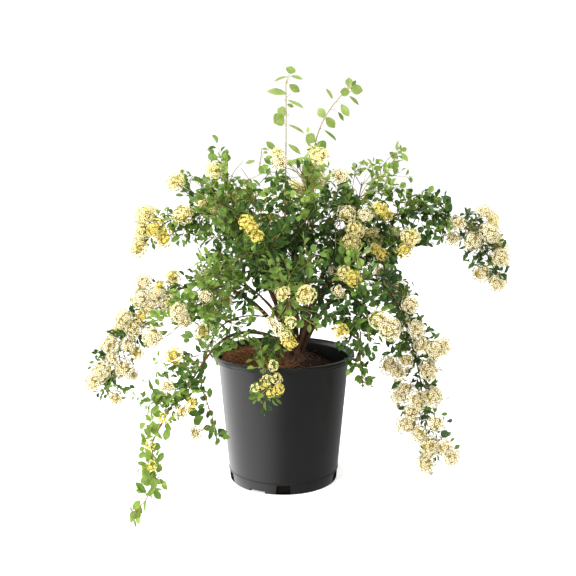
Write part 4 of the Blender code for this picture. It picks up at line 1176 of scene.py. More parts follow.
def pot_profile():
    lip_foot = POT_HEIGHT - LIP_BAND
    body_top = lip_foot - STEP_BAND
    step_radius = LIP_RADIUS - STEP_INSET
    ring_top = RING_HEIGHT + RING_WIDTH
    opening = LIP_RADIUS - LIP_WIDTH
    inner = wall_radius(body_top) - POT_WALL
    edge = POT_EDGE
    profile = [(0, 0), (BASE_RADIUS - BASE_CHAMFER, 0), (BASE_RADIUS - BASE_CHAMFER / 3, BASE_CHAMFER / 3),
               (BASE_RADIUS, BASE_CHAMFER)]
    profile += [
        (wall_radius(RING_HEIGHT), RING_HEIGHT),
        (wall_radius(RING_HEIGHT) + RING_PROUD, RING_HEIGHT + RING_PROUD * 0.8),
        (wall_radius(ring_top) + RING_PROUD * 0.8, ring_top - RING_PROUD * 0.6),
        (wall_radius(ring_top), ring_top),
        (wall_radius(body_top * 0.5), body_top * 0.5),
        (wall_radius(body_top) - BODY_TUCK, body_top - edge),
        (wall_radius(body_top) + edge, body_top),
    ]
    profile += [(step_radius - edge, body_top), (step_radius, body_top + edge),
                (step_radius, lip_foot - edge), (step_radius + edge, lip_foot)]
    profile += [(LIP_RADIUS - edge, lip_foot), (LIP_RADIUS, lip_foot + edge)]
    profile += rounded(LIP_RADIUS, POT_HEIGHT, LIP_ROUND)
    profile += [(LIP_RADIUS - LIP_ROUND - edge, POT_HEIGHT), (opening + edge * 2, POT_HEIGHT),
                (opening + edge, POT_HEIGHT), (opening, POT_HEIGHT - edge), (opening, lip_foot)]
    for rib in range(INNER_RIBS):
        share = (rib + 0.5) / INNER_RIBS
        radius = opening + (inner - opening) * share
        height = lip_foot + (body_top + POT_WALL - lip_foot) * share
        profile.append((radius, height - INNER_RIB_PROUD))
        profile.append((radius - INNER_RIB_PROUD, height + INNER_RIB_PROUD / 2))
    profile += [
        (inner, body_top + POT_WALL),
        (wall_radius(FLOOR) - POT_WALL, FLOOR),
        (0, FLOOR),
    ]
    return profile


def wall_cutter(heading, low_width, high_width, bottom, top):
    """A block with slanted sides that stands across the foot of the pot's wall at a heading."""
    points = []
    for out in (BASE_RADIUS - DRAIN_DEPTH, BASE_RADIUS + DRAIN_DEPTH):
        for width, height in ((low_width, bottom), (high_width, top)):
            points.append((out, -width / 2, height))
            points.append((out, width / 2, height))
    faces = [(0, 2, 3, 1), (4, 5, 7, 6), (0, 1, 5, 4), (2, 6, 7, 3), (0, 4, 6, 2), (1, 3, 7, 5)]
    mesh = bpy.data.meshes.new("wall_cutter")
    mesh.from_pydata(points, [], faces)
    cutter = bpy.data.objects.new("wall_cutter", mesh)
    cutter.rotation_euler.z = math.radians(heading)
    return cutter


def make_pot():
    points, faces = turned(pot_profile(), POT_SIDES)
    pot = piece("pot_shell", points, faces, plastic_finish(), "pot_plastic", ["pot"])
    holder = bpy.data.collections.new("pot_cutters")
    bpy.context.scene.collection.children.link(holder)
    for heading in DRAIN_HEADINGS:
        holder.objects.link(wall_cutter(heading, DRAIN_BOTTOM, DRAIN_TOP, DRAIN_SILL, DRAIN_HEIGHT))
    for heading in NOTCH_HEADINGS:
        top_width = NOTCH_WIDTH * NOTCH_TAPER
        holder.objects.link(wall_cutter(heading, NOTCH_WIDTH, top_width, NOTCH_FOOT, NOTCH_HEIGHT))
    cut = pot.modifiers.new("drains", "BOOLEAN")
    cut.operation = "DIFFERENCE"
    cut.operand_type = "COLLECTION"
    cut.collection = holder
    cut.solver = "EXACT"
    mesh = bpy.data.meshes.new_from_object(pot.evaluated_get(bpy.context.evaluated_depsgraph_get()))
    pot.modifiers.clear()
    pot.data = mesh
    for cutter in list(holder.objects):
        bpy.data.objects.remove(cutter)
    bpy.data.collections.remove(holder)
    mesh.shade_smooth()
    mesh.set_sharp_from_angle(angle=SHARP_FROM)


def mix_height(x, y):
    """The height of the potting mix: level at the clump, heaped to the left, sunk to the right."""
    off_clump = math.hypot(x - CLUMP.x, y - CLUMP.y)
    off_heap = math.hypot(x - HEAP_MIDDLE[0], y - HEAP_MIDDLE[1])
    free = min(1, max(0, (off_clump - MIX_LEVEL_RADIUS) / MIX_BLEND))
    heap = HEAP * math.exp(-(off_heap / HEAP_WIDTH) ** 2)
    sink = SINK * min(1, max(0, (x - SINK_FROM) / SINK_RUN))
    return SOIL_TOP + free * (heap - sink)


def patchy(x, y, scale, layer):
    """Smooth noise over the level plane, at this scale per metre."""
    return noise.noise(Vector((x * scale, y * scale, layer)))


def mix_surface(x, y):
    """The mix's height with its lumps."""
    coarse = patchy(x, y, MIX_COARSE, 3)
    fine = patchy(x, y, MIX_FINE, 9)
    return mix_height(x, y) + MIX_LUMPS * (coarse * MIX_COARSE_SHARE + fine * (1 - MIX_COARSE_SHARE))


def in_shaded_side(x, y):
    """Whether a place on the mix is in its sunk side, damp and darkened with painted shade, with few fibres.
    """
    return x + MIX_SHADE_WANDER * patchy(x, y, MIX_SHADE_SCALE, 5) > MIX_SHADE_FROM


def mix_piece(name, points, faces, finish, smooth=True):
    piece(name, points, faces, rough_finish(finish), "potting_mix", ["potting_mix"], smooth)


def make_mix():
    top_radius = wall_radius(SOIL_TOP - SINK) - POT_WALL - GAP * 2
    foot_radius = wall_radius(FLOOR) - POT_WALL - GAP * 2
    points = [(0, 0, mix_surface(0, 0))]
    for ring in range(1, MIX_RINGS + 1):
        for side in range(MIX_SIDES):
            angle = math.tau * side / MIX_SIDES
            radius = top_radius * ring / MIX_RINGS
            x, y = radius * math.cos(angle), radius * math.sin(angle)
            points.append((x, y, mix_surface(x, y)))
    faces = fan(MIX_SIDES) + [(a, d, c, b) for a, b, c, d in ring_faces(1, MIX_RINGS, MIX_SIDES)]
    # The sunk side gets the darker finish: painted shade on damp mix
    sides = {True: [], False: []}
    for face in faces:
        sides[in_shaded_side(*points[face[0]][:2])].append(face)
    mix_piece("mix_bed", points, sides[False], "coir_mix")
    mix_piece("mix_peat", points, sides[True], "peat_mix")
    # Its side shows through the drains near black: painted shade inside the pot, on damp mix
    side_profile = [(0, FLOOR + GAP), (foot_radius, FLOOR + GAP), (top_radius, SOIL_TOP - SINK - MIX_LUMPS),
                    (0, SOIL_TOP - SINK - MIX_LUMPS * 2)]
    mix_piece("mix_side", *turned(side_profile, MIX_SIDES), "damp_mix")


def somewhere_on_mix(rng, most):
    """A place on the mix, out to this share of its radius."""
    radius = (wall_radius(SOIL_TOP - SINK) - POT_WALL) * most * math.sqrt(rng.random())
    angle = rng.uniform(0, math.tau)
    x, y = radius * math.cos(angle), radius * math.sin(angle)
    return Vector((x, y, mix_surface(x, y)))


def make_crumbs():
    """Small broken lumps that lie on the mix."""
    rng = random.Random("crumbs")
    lumps = Stamps([octahedron()])
    for index in range(CRUMBS):
        place = somewhere_on_mix(rng, CRUMBS_OUT)
        if in_shaded_side(place.x, place.y) and rng.random() < SHADED_SIDE_BARE:
            continue
        size = rng.uniform(*CRUMB_SIZES)
        turn = Matrix.Rotation(rng.uniform(0, math.tau), 3, nudged(UP, rng, 1).normalized())
        narrow = size * rng.uniform(*CRUMB_NARROW)
        lumps.add(0, place, turn.col[0] * size, turn.col[1] * narrow, turn.col[2] * size * CRUMB_FLAT)
    mix_piece("mix_crumbs", *lumps.joined(), "mix_crumbs", smooth=False)


def fibre_curve(place, rng):
    """A fibre that leaves a place on any heading, rises a little and bends."""
    heading = rng.uniform(0, math.tau)
    rise = abs(rng.gauss(0, FIBRE_RISE))
    way = Vector((math.cos(heading), math.sin(heading), rise)).normalized()
    length = rng.uniform(*FIBRE_LENGTHS)
    bend = nudged(Vector((0, 0, -rise * FIBRE_DROOP)), rng, FIBRE_BEND) * length / 2
    return [place + way * length * t + bend * t * t + UP * FIBRE_LIFT for t in FIBRE_STEPS]


def make_fibres():
    """Coir fibres that lie on the mix and stand up from it, most of all on the left."""
    rng = random.Random("fibres")
    most = wall_radius(SOIL_TOP) - FIBRE_OFF_WALL
    batches = {tone: Tubes(FIBRE_SIDES) for tone in ("tan", "brown")}
    for index in range(FIBRES):
        place = somewhere_on_mix(rng, FIBRES_OUT)
        if rng.random() < FIBRE_LEFT:
            place.x = -abs(place.x)
            place.z = mix_surface(place.x, place.y)
        if in_shaded_side(place.x, place.y) and rng.random() < SHADED_SIDE_BARE:
            continue
        curve = fibre_curve(place, rng)
        tip = curve[-1]
        if math.hypot(tip.x, tip.y) > most or tip.z < mix_surface(tip.x, tip.y):
            continue
        radius = rng.uniform(*FIBRE_RADII)
        batches[rng.choice(("tan", "brown"))].add(curve, [radius * share for share in FIBRE_TAPER])
    for tone, tubes in batches.items():
        mix_piece("coir_fibres_" + tone, tubes.points, tubes.faces, "coir_" + tone)


# The clump and the boughs

def make_clump(finish):
    """The flared woody clump, with ridges and hollows in its bark."""
    heights = [height for radius, height in CLUMP_PROFILE]
    radii = [radius for radius, height in CLUMP_PROFILE]
    points = []
    for ring in range(CLUMP_RINGS + 1):
        height = heights[-1] * ring / CLUMP_RINGS
        radius = float(np.interp(height, heights, radii))
        for side in range(CLUMP_SIDES):
            angle = math.tau * side / CLUMP_SIDES
            flute = 1 + CLUMP_FLUTE * math.cos(CLUMP_FLUTES * angle)
            place = Vector((math.cos(angle) * CLUMP_GRAIN, math.sin(angle) * CLUMP_GRAIN,
                            height * CLUMP_GRAIN_UP))
            bark = 1 + CLUMP_RIDGES * noise.noise(place) + CLUMP_PITS * noise.noise(place * CLUMP_FINER)
            reach = radius * flute * bark
            points.append((CLUMP.x + reach * math.cos(angle), CLUMP.y + reach * math.sin(angle),
                           CLUMP.z - CLUMP_SUNK + height * CLUMP_STRETCH))
    faces = ring_faces(0, CLUMP_RINGS + 1, CLUMP_SIDES)
    faces.append(tuple(reversed(range(CLUMP_SIDES))))
    faces.append(tuple(CLUMP_RINGS * CLUMP_SIDES + side for side in range(CLUMP_SIDES)))
    piece("clump_bark", points, faces, finish, "bark", ["clump"])


def bark_relief(rng, sides, depth):
    """Ridges that run along a limb and wander, with a slight swelling at each bud."""
    ridges = [rng.uniform(-1, 1) for side in range(sides)]

    def relief(ring, side):
        ridges[side] = (1 - BARK_WANDER) * ridges[side] + BARK_WANDER * rng.uniform(-1, 1)
        bud = BUD_SWELL if ring % BUD_EVERY == BUD_FIRST else 0.0
        return 1 + depth * ridges[side] + bud

    return relief


def shares_between(curve, start, end, spacing):
    """Shares of a curve's length from start to end, about this far apart."""
    steps = max(LEAST_STEPS, round((end - start) * length_of(curve) / spacing))
    return [start + (end - start) * step / steps for step in range(steps + 1)]


def add_limb(tubes, name, curve, shares, radii, depth):
    """A limb through these shares of a curve, with relief of this depth."""
    rng = random.Random(name + " bark")
    tubes.add([on_curve(curve, share)[0] for share in shares], radii, bark_relief(rng, tubes.sides, depth))


def make_boughs(curves, barks):
    """Every cane from the clump to where its foliage begins, with the relief of its bark."""
    batches = {kind: Tubes(BOUGH_SIDES) for kind in ("old", "tan")}
    nodes = {kind: [] for kind in batches}
    for cane in CANES:
        curve = curves[cane.name]
        shares = shares_between(curve, 0, cane.bough or STUB / length_of(curve), BOUGH_STEP)
        radii = [cane_radius(cane, share) for share in shares]
        kind = "tan" if cane.name in TAN_BOUGHS else "old"
        add_limb(batches[kind], cane.name, curve, shares, radii, BOUGH_RELIEF)
        if cane.bough:
            nodes[kind].append("bough_" + cane.name)
    for kind, tubes in batches.items():
        piece("boughs_" + kind, tubes.points, tubes.faces, barks[kind], "bark", nodes[kind] + ["clump"])


# The shapes of a leaf and of blossom

LEAF_OVAL = ((0.14, 0.15), (0.34, 0.27), (0.56, 0.31), (0.74, 0.25), (0.88, 0.13))
LEAF_LOBED = ((0.14, 0.15), (0.36, 0.29), (0.58, 0.34), (0.72, 0.27), (0.80, 0.27), (0.90, 0.13))
LEAF_RIB = (0.0, 0.36, 0.72, 1.0)
PETIOLE = 0.17
PETIOLE_WIDTH = 0.022


def leaf_shape(outline, width, fold, curl, twist):
    """A small leaf, widest beyond its middle, folded along its rib and curled to its tip. Its length is 1
    along Y, and its face is +Z."""
    points = [(-PETIOLE_WIDTH, 0, 0), (PETIOLE_WIDTH, 0, 0), (PETIOLE_WIDTH, PETIOLE * 1.1, 0.004),
              (-PETIOLE_WIDTH, PETIOLE * 1.1, 0.004)]
    faces = [(0, 1, 2), (0, 2, 3)]

    def place(t, half):
        across = half * width
        lift = fold * abs(across) - curl * t * t + twist * across * t
        return (across, PETIOLE + (1 - PETIOLE) * t, lift)

    for side in (1, -1):
        rib = len(points)
        points += [place(t, 0) for t in LEAF_RIB]
        edge = len(points)
        points += [place(t, side * half) for t, half in outline]
        on_rib, on_edge = 0, 0
        while on_rib < len(LEAF_RIB) - 1:
            face = (rib + on_rib, edge + on_edge)
            if on_edge + 1 < len(outline) and outline[on_edge + 1][0] < LEAF_RIB[on_rib + 1]:
                on_edge += 1
                face += (edge + on_edge,)
            else:
                on_rib += 1
                face += (rib + on_rib,)
            faces.append(face if side > 0 else face[::-1])
    return points, faces


# The outline, how wide, how folded, how curled and how twisted each is
LEAF_SHAPES = [
    leaf_shape(LEAF_OVAL, 0.66, 0.30, 0.10, 0.1), leaf_shape(LEAF_OVAL, 0.76, 0.45, 0.22, -0.2),
    leaf_shape(LEAF_OVAL, 0.60, 0.60, 0.28, 0.3), leaf_shape(LEAF_OVAL, 0.86, 0.25, 0.12, 0.2),
    leaf_shape(LEAF_LOBED, 0.90, 0.42, 0.24, -0.2), leaf_shape(LEAF_OVAL, 0.82, 0.55, 0.05, -0.1),
    leaf_shape(LEAF_OVAL, 1.02, 0.30, 0.14, 0.1), leaf_shape(LEAF_LOBED, 1.06, 0.45, 0.26, -0.2),
    leaf_shape(LEAF_OVAL, 0.5 / max(half for along, half in LEAF_OVAL), 0.12, 0.06, 0.05),
]
SHAPES_OF = {"narrow": (0, 1, 2), "crown": (0, 1, 3, 4, 5), "oval": (0, 1, 3, 5), "broad": (3, 5, 6, 7)}
# The shape whose blade is as wide as the length of the direction across it
SEEN_SHAPE = 8


# Corners of a petal: degrees from its middle line, distance out and height
PETAL = ((-36, 0.42, 0.06), (-24, 0.95, 0.30), (24, 0.95, 0.30), (36, 0.42, 0.06))
# The raised middle of a floret, and the core of a head: rings of distance out and height
HEART_SIDES = 6
HEART_RIM = (0.42, 0.16)
HEART_TOP = 0.36
CORE_SIDES = 9
CORE_RINGS = ((0.42, 0.80), (0.78, 0.55), (0.98, 0.10), (0.55, -0.35))
CORE_TOP = 0.90
CORE_FOOT = -0.75


def floret_shape(cup):
    """Five round petals, with a radius of 1 about +Z."""
    points = [(0, 0, 0)]
    faces = []
    for petal in range(5):
        middle = math.tau * petal / 5
        first = len(points)
        for turn, radius, height in PETAL:
            angle = middle + math.radians(turn)
            points.append((radius * math.cos(angle), radius * math.sin(angle), height * cup))
        faces += [(0, first + step, first + step + 1) for step in range(3)]
    return points, faces


def heart_shape():
    """The low raised middle of a floret."""
    radius, height = HEART_RIM
    points = [(0, 0, HEART_TOP)]
    for corner in range(HEART_SIDES):
        angle = math.tau * corner / HEART_SIDES
        points.append((radius * math.cos(angle), radius * math.sin(angle), height))
    return points, fan(HEART_SIDES)


def core_shape():
    """The mass of stalks and buds under a head's florets: a dome of radius 1 on a cone."""
    points = [(0, 0, CORE_TOP)]
    for ring, (radius, height) in enumerate(CORE_RINGS):
        for side in range(CORE_SIDES):
            angle = math.tau * (side + 0.5 * (ring % 2)) / CORE_SIDES
            points.append((radius * math.cos(angle), radius * math.sin(angle), height))
    faces = fan(CORE_SIDES)
    for a, b, c, d in ring_faces(1, len(CORE_RINGS), CORE_SIDES):
        faces += [(a, d, c), (a, c, b)]
    last = len(points) - CORE_SIDES
    foot = len(points)
    points.append((0, 0, CORE_FOOT))
    faces += [(last + (side + 1) % CORE_SIDES, last + side, foot) for side in range(CORE_SIDES)]
    return points, faces


# Growing the foliage

class Plant:
    """Everything that grows on the stems: batches of leaves, twigs and blossom by colour."""

    def __init__(self, stems):
        self.stems = stems
        self.leaves = {tone: Stamps(LEAF_SHAPES) for tone in LEAF_TONES}
        self.petals = {tone: Stamps([floret_shape(1.0), floret_shape(1.7)]) for tone in PETAL_TONES}
        self.hearts = {tone: Stamps([heart_shape()]) for tone in PETAL_TONES}
        self.buds = Stamps([octahedron()])
        self.twigs = {kind: Tubes(sides) for kind, sides in TWIG_SIDES.items()}
        self.stalks = Tubes(STALK_SIDES)
        self.cores = Stamps([core_shape()])
        self.heads = []
        self.spaces = {}
        self.holds = []
        for stem in stems:
            shares = np.linspace(leaf_share(stem), stem.end, SPACE_STEPS + 1)
            self.spaces[stem.mass.name] = np.array([on_curve(stem.curve, share)[0] for share in shares])
            if not stem.mass.name.startswith("back"):
                shares = np.linspace(stem.start, stem.end, HOLD_STEPS + 1)
                self.add_hold([on_curve(stem.curve, share)[0] for share in shares])

    def add_hold(self, places):
        """A run of wood that leaves which show singly may grow from."""
        self.holds.append((places, np.array([pixel_of(place) for place in places])))

    def nearest_hold(self, pixel):
        """The place on the wood that shows nearest to a pixel, and one a little before it."""
        best = None
        for places, pixels in self.holds:
            distances = np.hypot(*(pixels - np.array(pixel)).T)
            index = int(distances.argmin())
            if best is None or distances[index] < best[0]:
                best = (distances[index], places[index], places[max(0, index - HOLD_BACK)])
        return best[1:]

    def off_heads(self, middle):
        """Whether a leaf's middle is clear of every head and of the line of sight to it."""
        for centre in self.heads:
            if (middle - centre).length < HEAD_RADIUS * HEAD_CLEAR:
                return False
            sight = (CAMERA_PLACE - centre).normalized()
            ahead = (middle - centre).dot(sight)
            if 0 < ahead < SIGHT_LENGTH and ((middle - centre) - sight * ahead).length < SIGHT_RADIUS:
                return False
        return True

    def has_room(self, stem, tip, middle):
        """Whether a leaf keeps to its mass's space, off the floor, the pot and the blossom."""
        if tip.z < FLOOR_CLEARANCE:
            return False
        for place in (tip, middle):
            from_axis = math.hypot(place.x, place.y)
            if from_axis < LIP_RADIUS + RIM_CLEARANCE and place.z < POT_HEIGHT + RIM_CLEARANCE:
                return False
        away = np.linalg.norm(self.spaces[stem.mass.name] - np.array(tip), axis=1).min()
        if away > stem.mass.reach + REACH_SPARE or not self.off_heads(middle):
            return False
        return not (in_sky(middle) or in_sky(tip))

    def add_leaf(self, stem, tone, root, way, rng, length):
        """A leaf about this way from its root, at the first of a few tries that has room."""
        shapes = SHAPES_OF[LOOKS[stem.mass.look].shapes]
        for attempt in range(LEAF_TRIES):
            tilted = nudged(way, rng, LEAF_TILT).normalized()
            face = nudged(light_from(root), rng, LEAF_ROLL)
            face = (face - tilted * face.dot(tilted)).normalized()
            size = length * rng.uniform(*LEAF_SIZES)
            tip = root + tilted * size
            if self.has_room(stem, tip, root + tilted * size * LEAF_MIDDLE):
                side = tilted.cross(face)
                self.leaves[tone].add(rng.choice(shapes), root, side * size, tilted * size, face * size)
                return

    def leaf_along(self, stem, curve, tone, rng, first, spacing, length):
        """Leaves by turns on both sides of a twig, small at its end."""
        run = length_of(curve) * (1 - first)
        count = max(1, round(run / spacing))
        turn = rng.uniform(0, math.tau)
        for index in range(count):
            share = first + (1 - first) * (index + 0.5) / count
            root, tangent = on_curve(curve, share)
            turn += math.pi + rng.uniform(-LEAF_TURN, LEAF_TURN)
            way = tangent * LEAF_FORWARD + outward(tangent, turn) * LEAF_OUTWARD
            self.add_leaf(stem, tone, root, way, rng, length * (FIRST_LEAF - LEAF_SMALLER * share))
        tip, tangent = on_curve(curve, 1)
        self.add_leaf(stem, tone, tip, tangent, rng, length * LAST_LEAF)

    def twig(self, kind, curve, thick, thin):
        """A tapering twig along a curve."""
        count = len(curve)
        radii = [thick + (thin - thick) * index / (count - 1) for index in range(count)]
        self.twigs[kind].add(curve, radii)

    def head(self, centre, axis, tone, rng, radius):
        """A domed head: florets close together on the dome, some of them with a stalk from the twig's end."""
        axis = axis.normalized()
        side = axis.orthogonal().normalized()
        other = axis.cross(side)
        foot = centre - axis * radius * HEAD_FOOT
        middle = centre - axis * radius * HEAD_SINK
        share = radius / HEAD_RADIUS
        count = max(HEAD_FEWEST, round(HEAD_FLORETS * share * share * rng.uniform(*HEAD_FLORET_SPREAD)))
        seed = Vector([rng.uniform(0, HEAD_SEEDS) for part in range(3)])
        for index in range(count):
            slope = math.acos(1 - (index + 0.5) / count * HEAD_COVER)
            turn = index * GOLDEN_ANGLE
            round_axis = side * math.cos(turn) + other * math.sin(turn)
            out = axis * math.cos(slope) + round_axis * math.sin(slope)
            swell = noise.noise(seed + out * HEAD_LUMP_SCALE)
            if swell < HEAD_HOLES:
                continue
            dome = round_axis * math.sin(slope) + axis * HEAD_DOME * math.cos(slope)
            place = middle + nudged(Vector((0, 0, 0)), rng, HEAD_JITTER)
            place += dome * radius * (1 + HEAD_LUMPS * swell)
            facing = nudged(out, rng, FLORET_TURN).normalized()
            self.floret_or_bud(place, facing, tone, rng)
            if index % STALK_EVERY == 0:
                self.stalks.add([foot, place - facing * STALK_BELOW], STALK_RADII)
        if share >= HEAD_LEAST_CORED:
            core = radius * HEAD_CORE
            self.cores.add(0, middle, side * core, other * core, axis * core * HEAD_DOME / CORE_TOP)

    def floret_or_bud(self, place, facing, tone, rng):
        """One floret at a place, or now and then a bud."""
        flat = Matrix.Rotation(rng.uniform(0, math.tau), 3, facing) @ facing.orthogonal().normalized()
        across = facing.cross(flat)
        if rng.random() < BUD_SHARES[tone]:
            size = rng.uniform(*BUD_SIZES)
            self.buds.add(0, place, flat * size, across * size, facing * size)
            return
        size = FLORET_RADIUS * rng.uniform(*FLORET_SIZES)
        cup = 0 if tone == "cream" or rng.random() < 0.5 else 1
        self.petals[tone].add(cup, place, flat * size, across * size, facing * size)
        self.hearts[tone].add(0, place, flat * size, across * size, facing * size)

    def dress(self, stem):
        """One mass: the source's twigs, carried on to side twigs, and fine twigs on the stem between them."""
        mass = stem.mass
        look = LOOKS[mass.look]
        rng = random.Random(mass.name + " dress")
        if mass.name in SEEN_ONLY:
            return
        for twig in twigs_of(stem):
            tone = spray_tone(look, twig.points[-1], rng)
            if in_sky(twig.points[-1]):
                continue
            curve = even_curve([tuple(point) for point in twig.points], TWIG_STEPS)
            self.twig("woody" if look.sides > 1 else "green", curve, *TWIG_RADII)
            hidden = twig.points[-1].y > stem_middle(stem).y + OWN_HEAD_BEHIND
            if twig.flowers and (hidden or mass.name.startswith("back")):
                self.own_head(twig, rng)
            self.leaf_along(stem, curve, tone, rng, TWIG_BARE, look.spacing, look.leaf)
            self.sprouts(stem, curve, look.sides, SIDE_FIRST, SIDE_RUN, SIDE_TWIG, tone, rng)
        first = leaf_share(stem)
        self.sprouts(stem, stem.curve, look.fine, first, stem.end - first, FINE_TWIG, None, rng)
        if stem.end == 1:
            self.stem_end(stem, look, rng)

    def own_head(self, twig, rng):
        """The head at the end of a twig that the source's rule lets flower."""
        end = twig.points[-1]
        out = (end - twig.base).normalized() / 2 + light_from(end)
        self.heads.append(end)
        tone = rng.choices(list(OWN_HEAD_TONES), list(OWN_HEAD_TONES.values()))[0]
        axis = nudged(out, rng, OWN_HEAD_WANDER)
        self.head(end, axis, tone, rng, HEAD_RADIUS * rng.uniform(*OWN_HEAD_SIZES))

    def sprouts(self, stem, curve, count, first, run, rule, tone, rng):
        """Leafy twigs along part of a twig or stem, turned by the golden angle and each bent up to the light.
        They take the tone given, or one of their own where it is None."""
        look = LOOKS[stem.mass.look]
        turn = rng.uniform(0, math.tau)
        for index in range(count):
            share = first + run * ((index + rng.random()) / count)
            base, tangent = on_curve(curve, share)
            spread = math.radians(rng.uniform(*rule.spread))
            aside = outward(tangent, turn + index * GOLDEN_ANGLE)
            way = tangent * math.cos(spread) + aside * math.sin(spread)
            length = stem.mass.reach * rng.uniform(*rule.lengths) * (rule.longest - rule.shorter * share)
            lift = rng.uniform(*rule.lift) * length
            points = [base + way * length * step + UP * lift * step * step for step in (0, 0.5, 1)]
            if in_sky(points[-1]):
                continue
            twig = even_curve([tuple(point) for point in points], SPROUT_STEPS)
            spray = tone or spray_tone(look, points[-1], rng)
            self.twig("green", twig, rule.thick, SPROUT_TIP)
            self.leaf_along(stem, twig, spray, rng, rule.bare, look.spacing, look.leaf * rule.leaf)

    def stem_end(self, stem, look, rng):
        """Leaves straight on the last part of a stem."""
        tone = spray_tone(look, on_curve(stem.curve, 1)[0], rng)
        first = max(END_LEAVES_FROM, leaf_share(stem)) if look.sides else leaf_share(stem)
        shares = [first + (1 - first) * step / END_STEPS for step in range(END_STEPS + 1)]
        curve = np.array([tuple(on_curve(stem.curve, share)[0]) for share in shares])
        spacing = look.spacing if look.sides else look.spacing * SHOOT_SPACING
        self.leaf_along(stem, curve, tone, rng, 0.0, spacing, look.leaf)

    def bearer(self, pixel):
        """The stem that bears what is seen at a pixel: near the line of sight, and near the camera."""
        way = sight_through(pixel)
        best = None
        for stem in self.stems:
            if stem.mass.name.startswith("back"):
                continue
            first = leaf_share(stem)
            for step in range(BEARER_STEPS + 1):
                share = first + (stem.end - first) * step / BEARER_STEPS
                place, tangent = on_curve(stem.curve, share)
                along = (place - CAMERA_PLACE).dot(way)
                off = (place - CAMERA_PLACE - way * along).length
                reach = stem.mass.reach
                score = max(0, off / reach - OFF_FREE) * OFF_COST + off / reach + NEAR_FAVOUR * along
                if best is None or score < best[0]:
                    best = (score, stem, share, along, off)
        return best[1:]

    def seen_place(self, pixel, forward):
        """The stem that bears what is seen at a pixel, the twig's root on it, and the place it grows to."""
        stem, share, along, off = self.bearer(pixel)
        reach = stem.mass.reach
        ahead = forward * math.sqrt(max(0.0, reach * reach - off * off))
        place = CAMERA_PLACE + sight_through(pixel) * (along - ahead)
        nearest = on_curve(stem.curve, share)[0]
        if off > reach:
            place = nearest + (place - nearest) * reach / off
        back = ROOT_BACK * (place - nearest).length / length_of(stem.curve)
        base, tangent = on_curve(stem.curve, max(leaf_share(stem), share - back))
        return stem, base, tangent, place

    def seen_twig(self, base, tangent, foot, axis):
        """A twig that leaves its stem along it and bends over to its end."""
        reached = (foot - base).length
        control = base + tangent * reached * SEEN_TWIG_PULL + (foot - base) * SEEN_TWIG_PULL
        before = foot - axis * reached * SEEN_TWIG_END
        shares = [step / SEEN_TWIG_STEPS for step in range(SEEN_TWIG_STEPS + 1)]
        return np.array([tuple(bezier(base, control, before, foot, share)) for share in shares])

    def seen_head(self, pixel, size, tone, rng):
        """A head on a twig that grows from its stem to the place where the photograph shows it."""
        stem, base, tangent, centre = self.seen_place(pixel, FORWARD_SHARE)
        toward = (CAMERA_PLACE - centre).normalized()
        axis = (centre - base).normalized() * HEAD_OUTWARD + light_from(centre) + toward * HEAD_TO_VIEWER
        axis = nudged(axis, rng, HEAD_WANDER).normalized()
        radius = HEAD_RADIUS * size * rng.uniform(*SEEN_HEAD_SIZES)
        curve = self.seen_twig(base, tangent, centre - axis * radius * HEAD_FOOT, axis)
        self.heads.append(centre)
        self.head(centre, axis, tone, rng, radius)
        return stem, curve

    def seen_spray(self, pixel, rng):
        """A twig that grows from its stem to the place seen at a pixel."""
        stem, base, tangent, place = self.seen_place(pixel, rng.uniform(*SPRAY_FORWARD))
        axis = (place - base).normalized() * SPRAY_OUTWARD + light_from(place) * SPRAY_TO_LIGHT
        return stem, self.seen_twig(base, tangent, place, axis)

    def dress_seen_twig(self, stem, curve, rng):
        """The twig to what is seen at a pixel, with its leaves."""
        look = LOOKS[stem.mass.look]
        tone = spray_tone(look, Vector(curve[-1]), rng)
        self.twig("green", curve, *SEEN_TWIG_RADII)
        spacing = look.spacing * SEEN_TWIG_SPACING
        self.leaf_along(stem, curve, tone, rng, SEEN_TWIG_BARE, spacing, look.leaf * SEEN_TWIG_LEAF)

    def clear_of_heads(self, foot, pixel):
        """The place seen at a pixel, brought forward where a head shows near it."""
        ahead = 0
        for centre in self.heads:
            column, row = pixel_of(centre)
            if math.hypot(column - pixel[0], row - pixel[1]) < CLEAR_PIXELS:
                ahead = max(ahead, (foot - centre).dot(FORWARD) + HEAD_RADIUS)
        return beside(foot - FORWARD * min(ahead, CLEAR_MOST), pixel)

    def seen_leaf(self, leaf, tone, rng):
        """A leaf that shows singly, as deep as the nearest wood or a little nearer to the camera. One that
        shows narrow is turned to the light."""
        base, tip, width = leaf[:2], leaf[2:4], leaf[4]
        hold, before = self.nearest_hold(base)
        foot = self.clear_of_heads(beside(hold, base), base)
        toward = (CAMERA_PLACE - foot).normalized()
        along = beside(foot, tip) - foot
        blade = along.length
        along += toward * blade * rng.uniform(-SEEN_LEAF_LEAN, SEEN_LEAF_LEAN)
        if (foot + along).z < FLOOR_CLEARANCE:
            along.z = FLOOR_CLEARANCE - foot.z
        full = LOW_LEAF_FULL if foot.z < POT_HEIGHT / 2 else SEEN_LEAF_FULL
        shown = full * width * (foot - CAMERA_PLACE).dot(FORWARD) / FOCAL_PIXELS
        broad = max(shown, SEEN_LEAF_WIDTH * blade)
        roll = math.acos(shown / broad)
        way = along.normalized()
        face = (toward - way * toward.dot(way)).normalized()
        side = way.cross(face)
        face = face * math.cos(roll) + side * math.copysign(math.sin(roll), side.z)
        length = along.length / (1 - PETIOLE)
        root = foot - way * length * PETIOLE
        relief = face * length * SEEN_LEAF_RELIEF
        self.leaves[tone].add(SEEN_SHAPE, root, way.cross(face) * broad, way * length, relief)
        if (root - hold).length > STALK_SHORTEST:
            middle = before + (root - before) / 2 + UP * (root - before).length * LEAF_STALK_BOW
            self.twig("green", [before, middle, root], *LEAF_STALK_RADII)

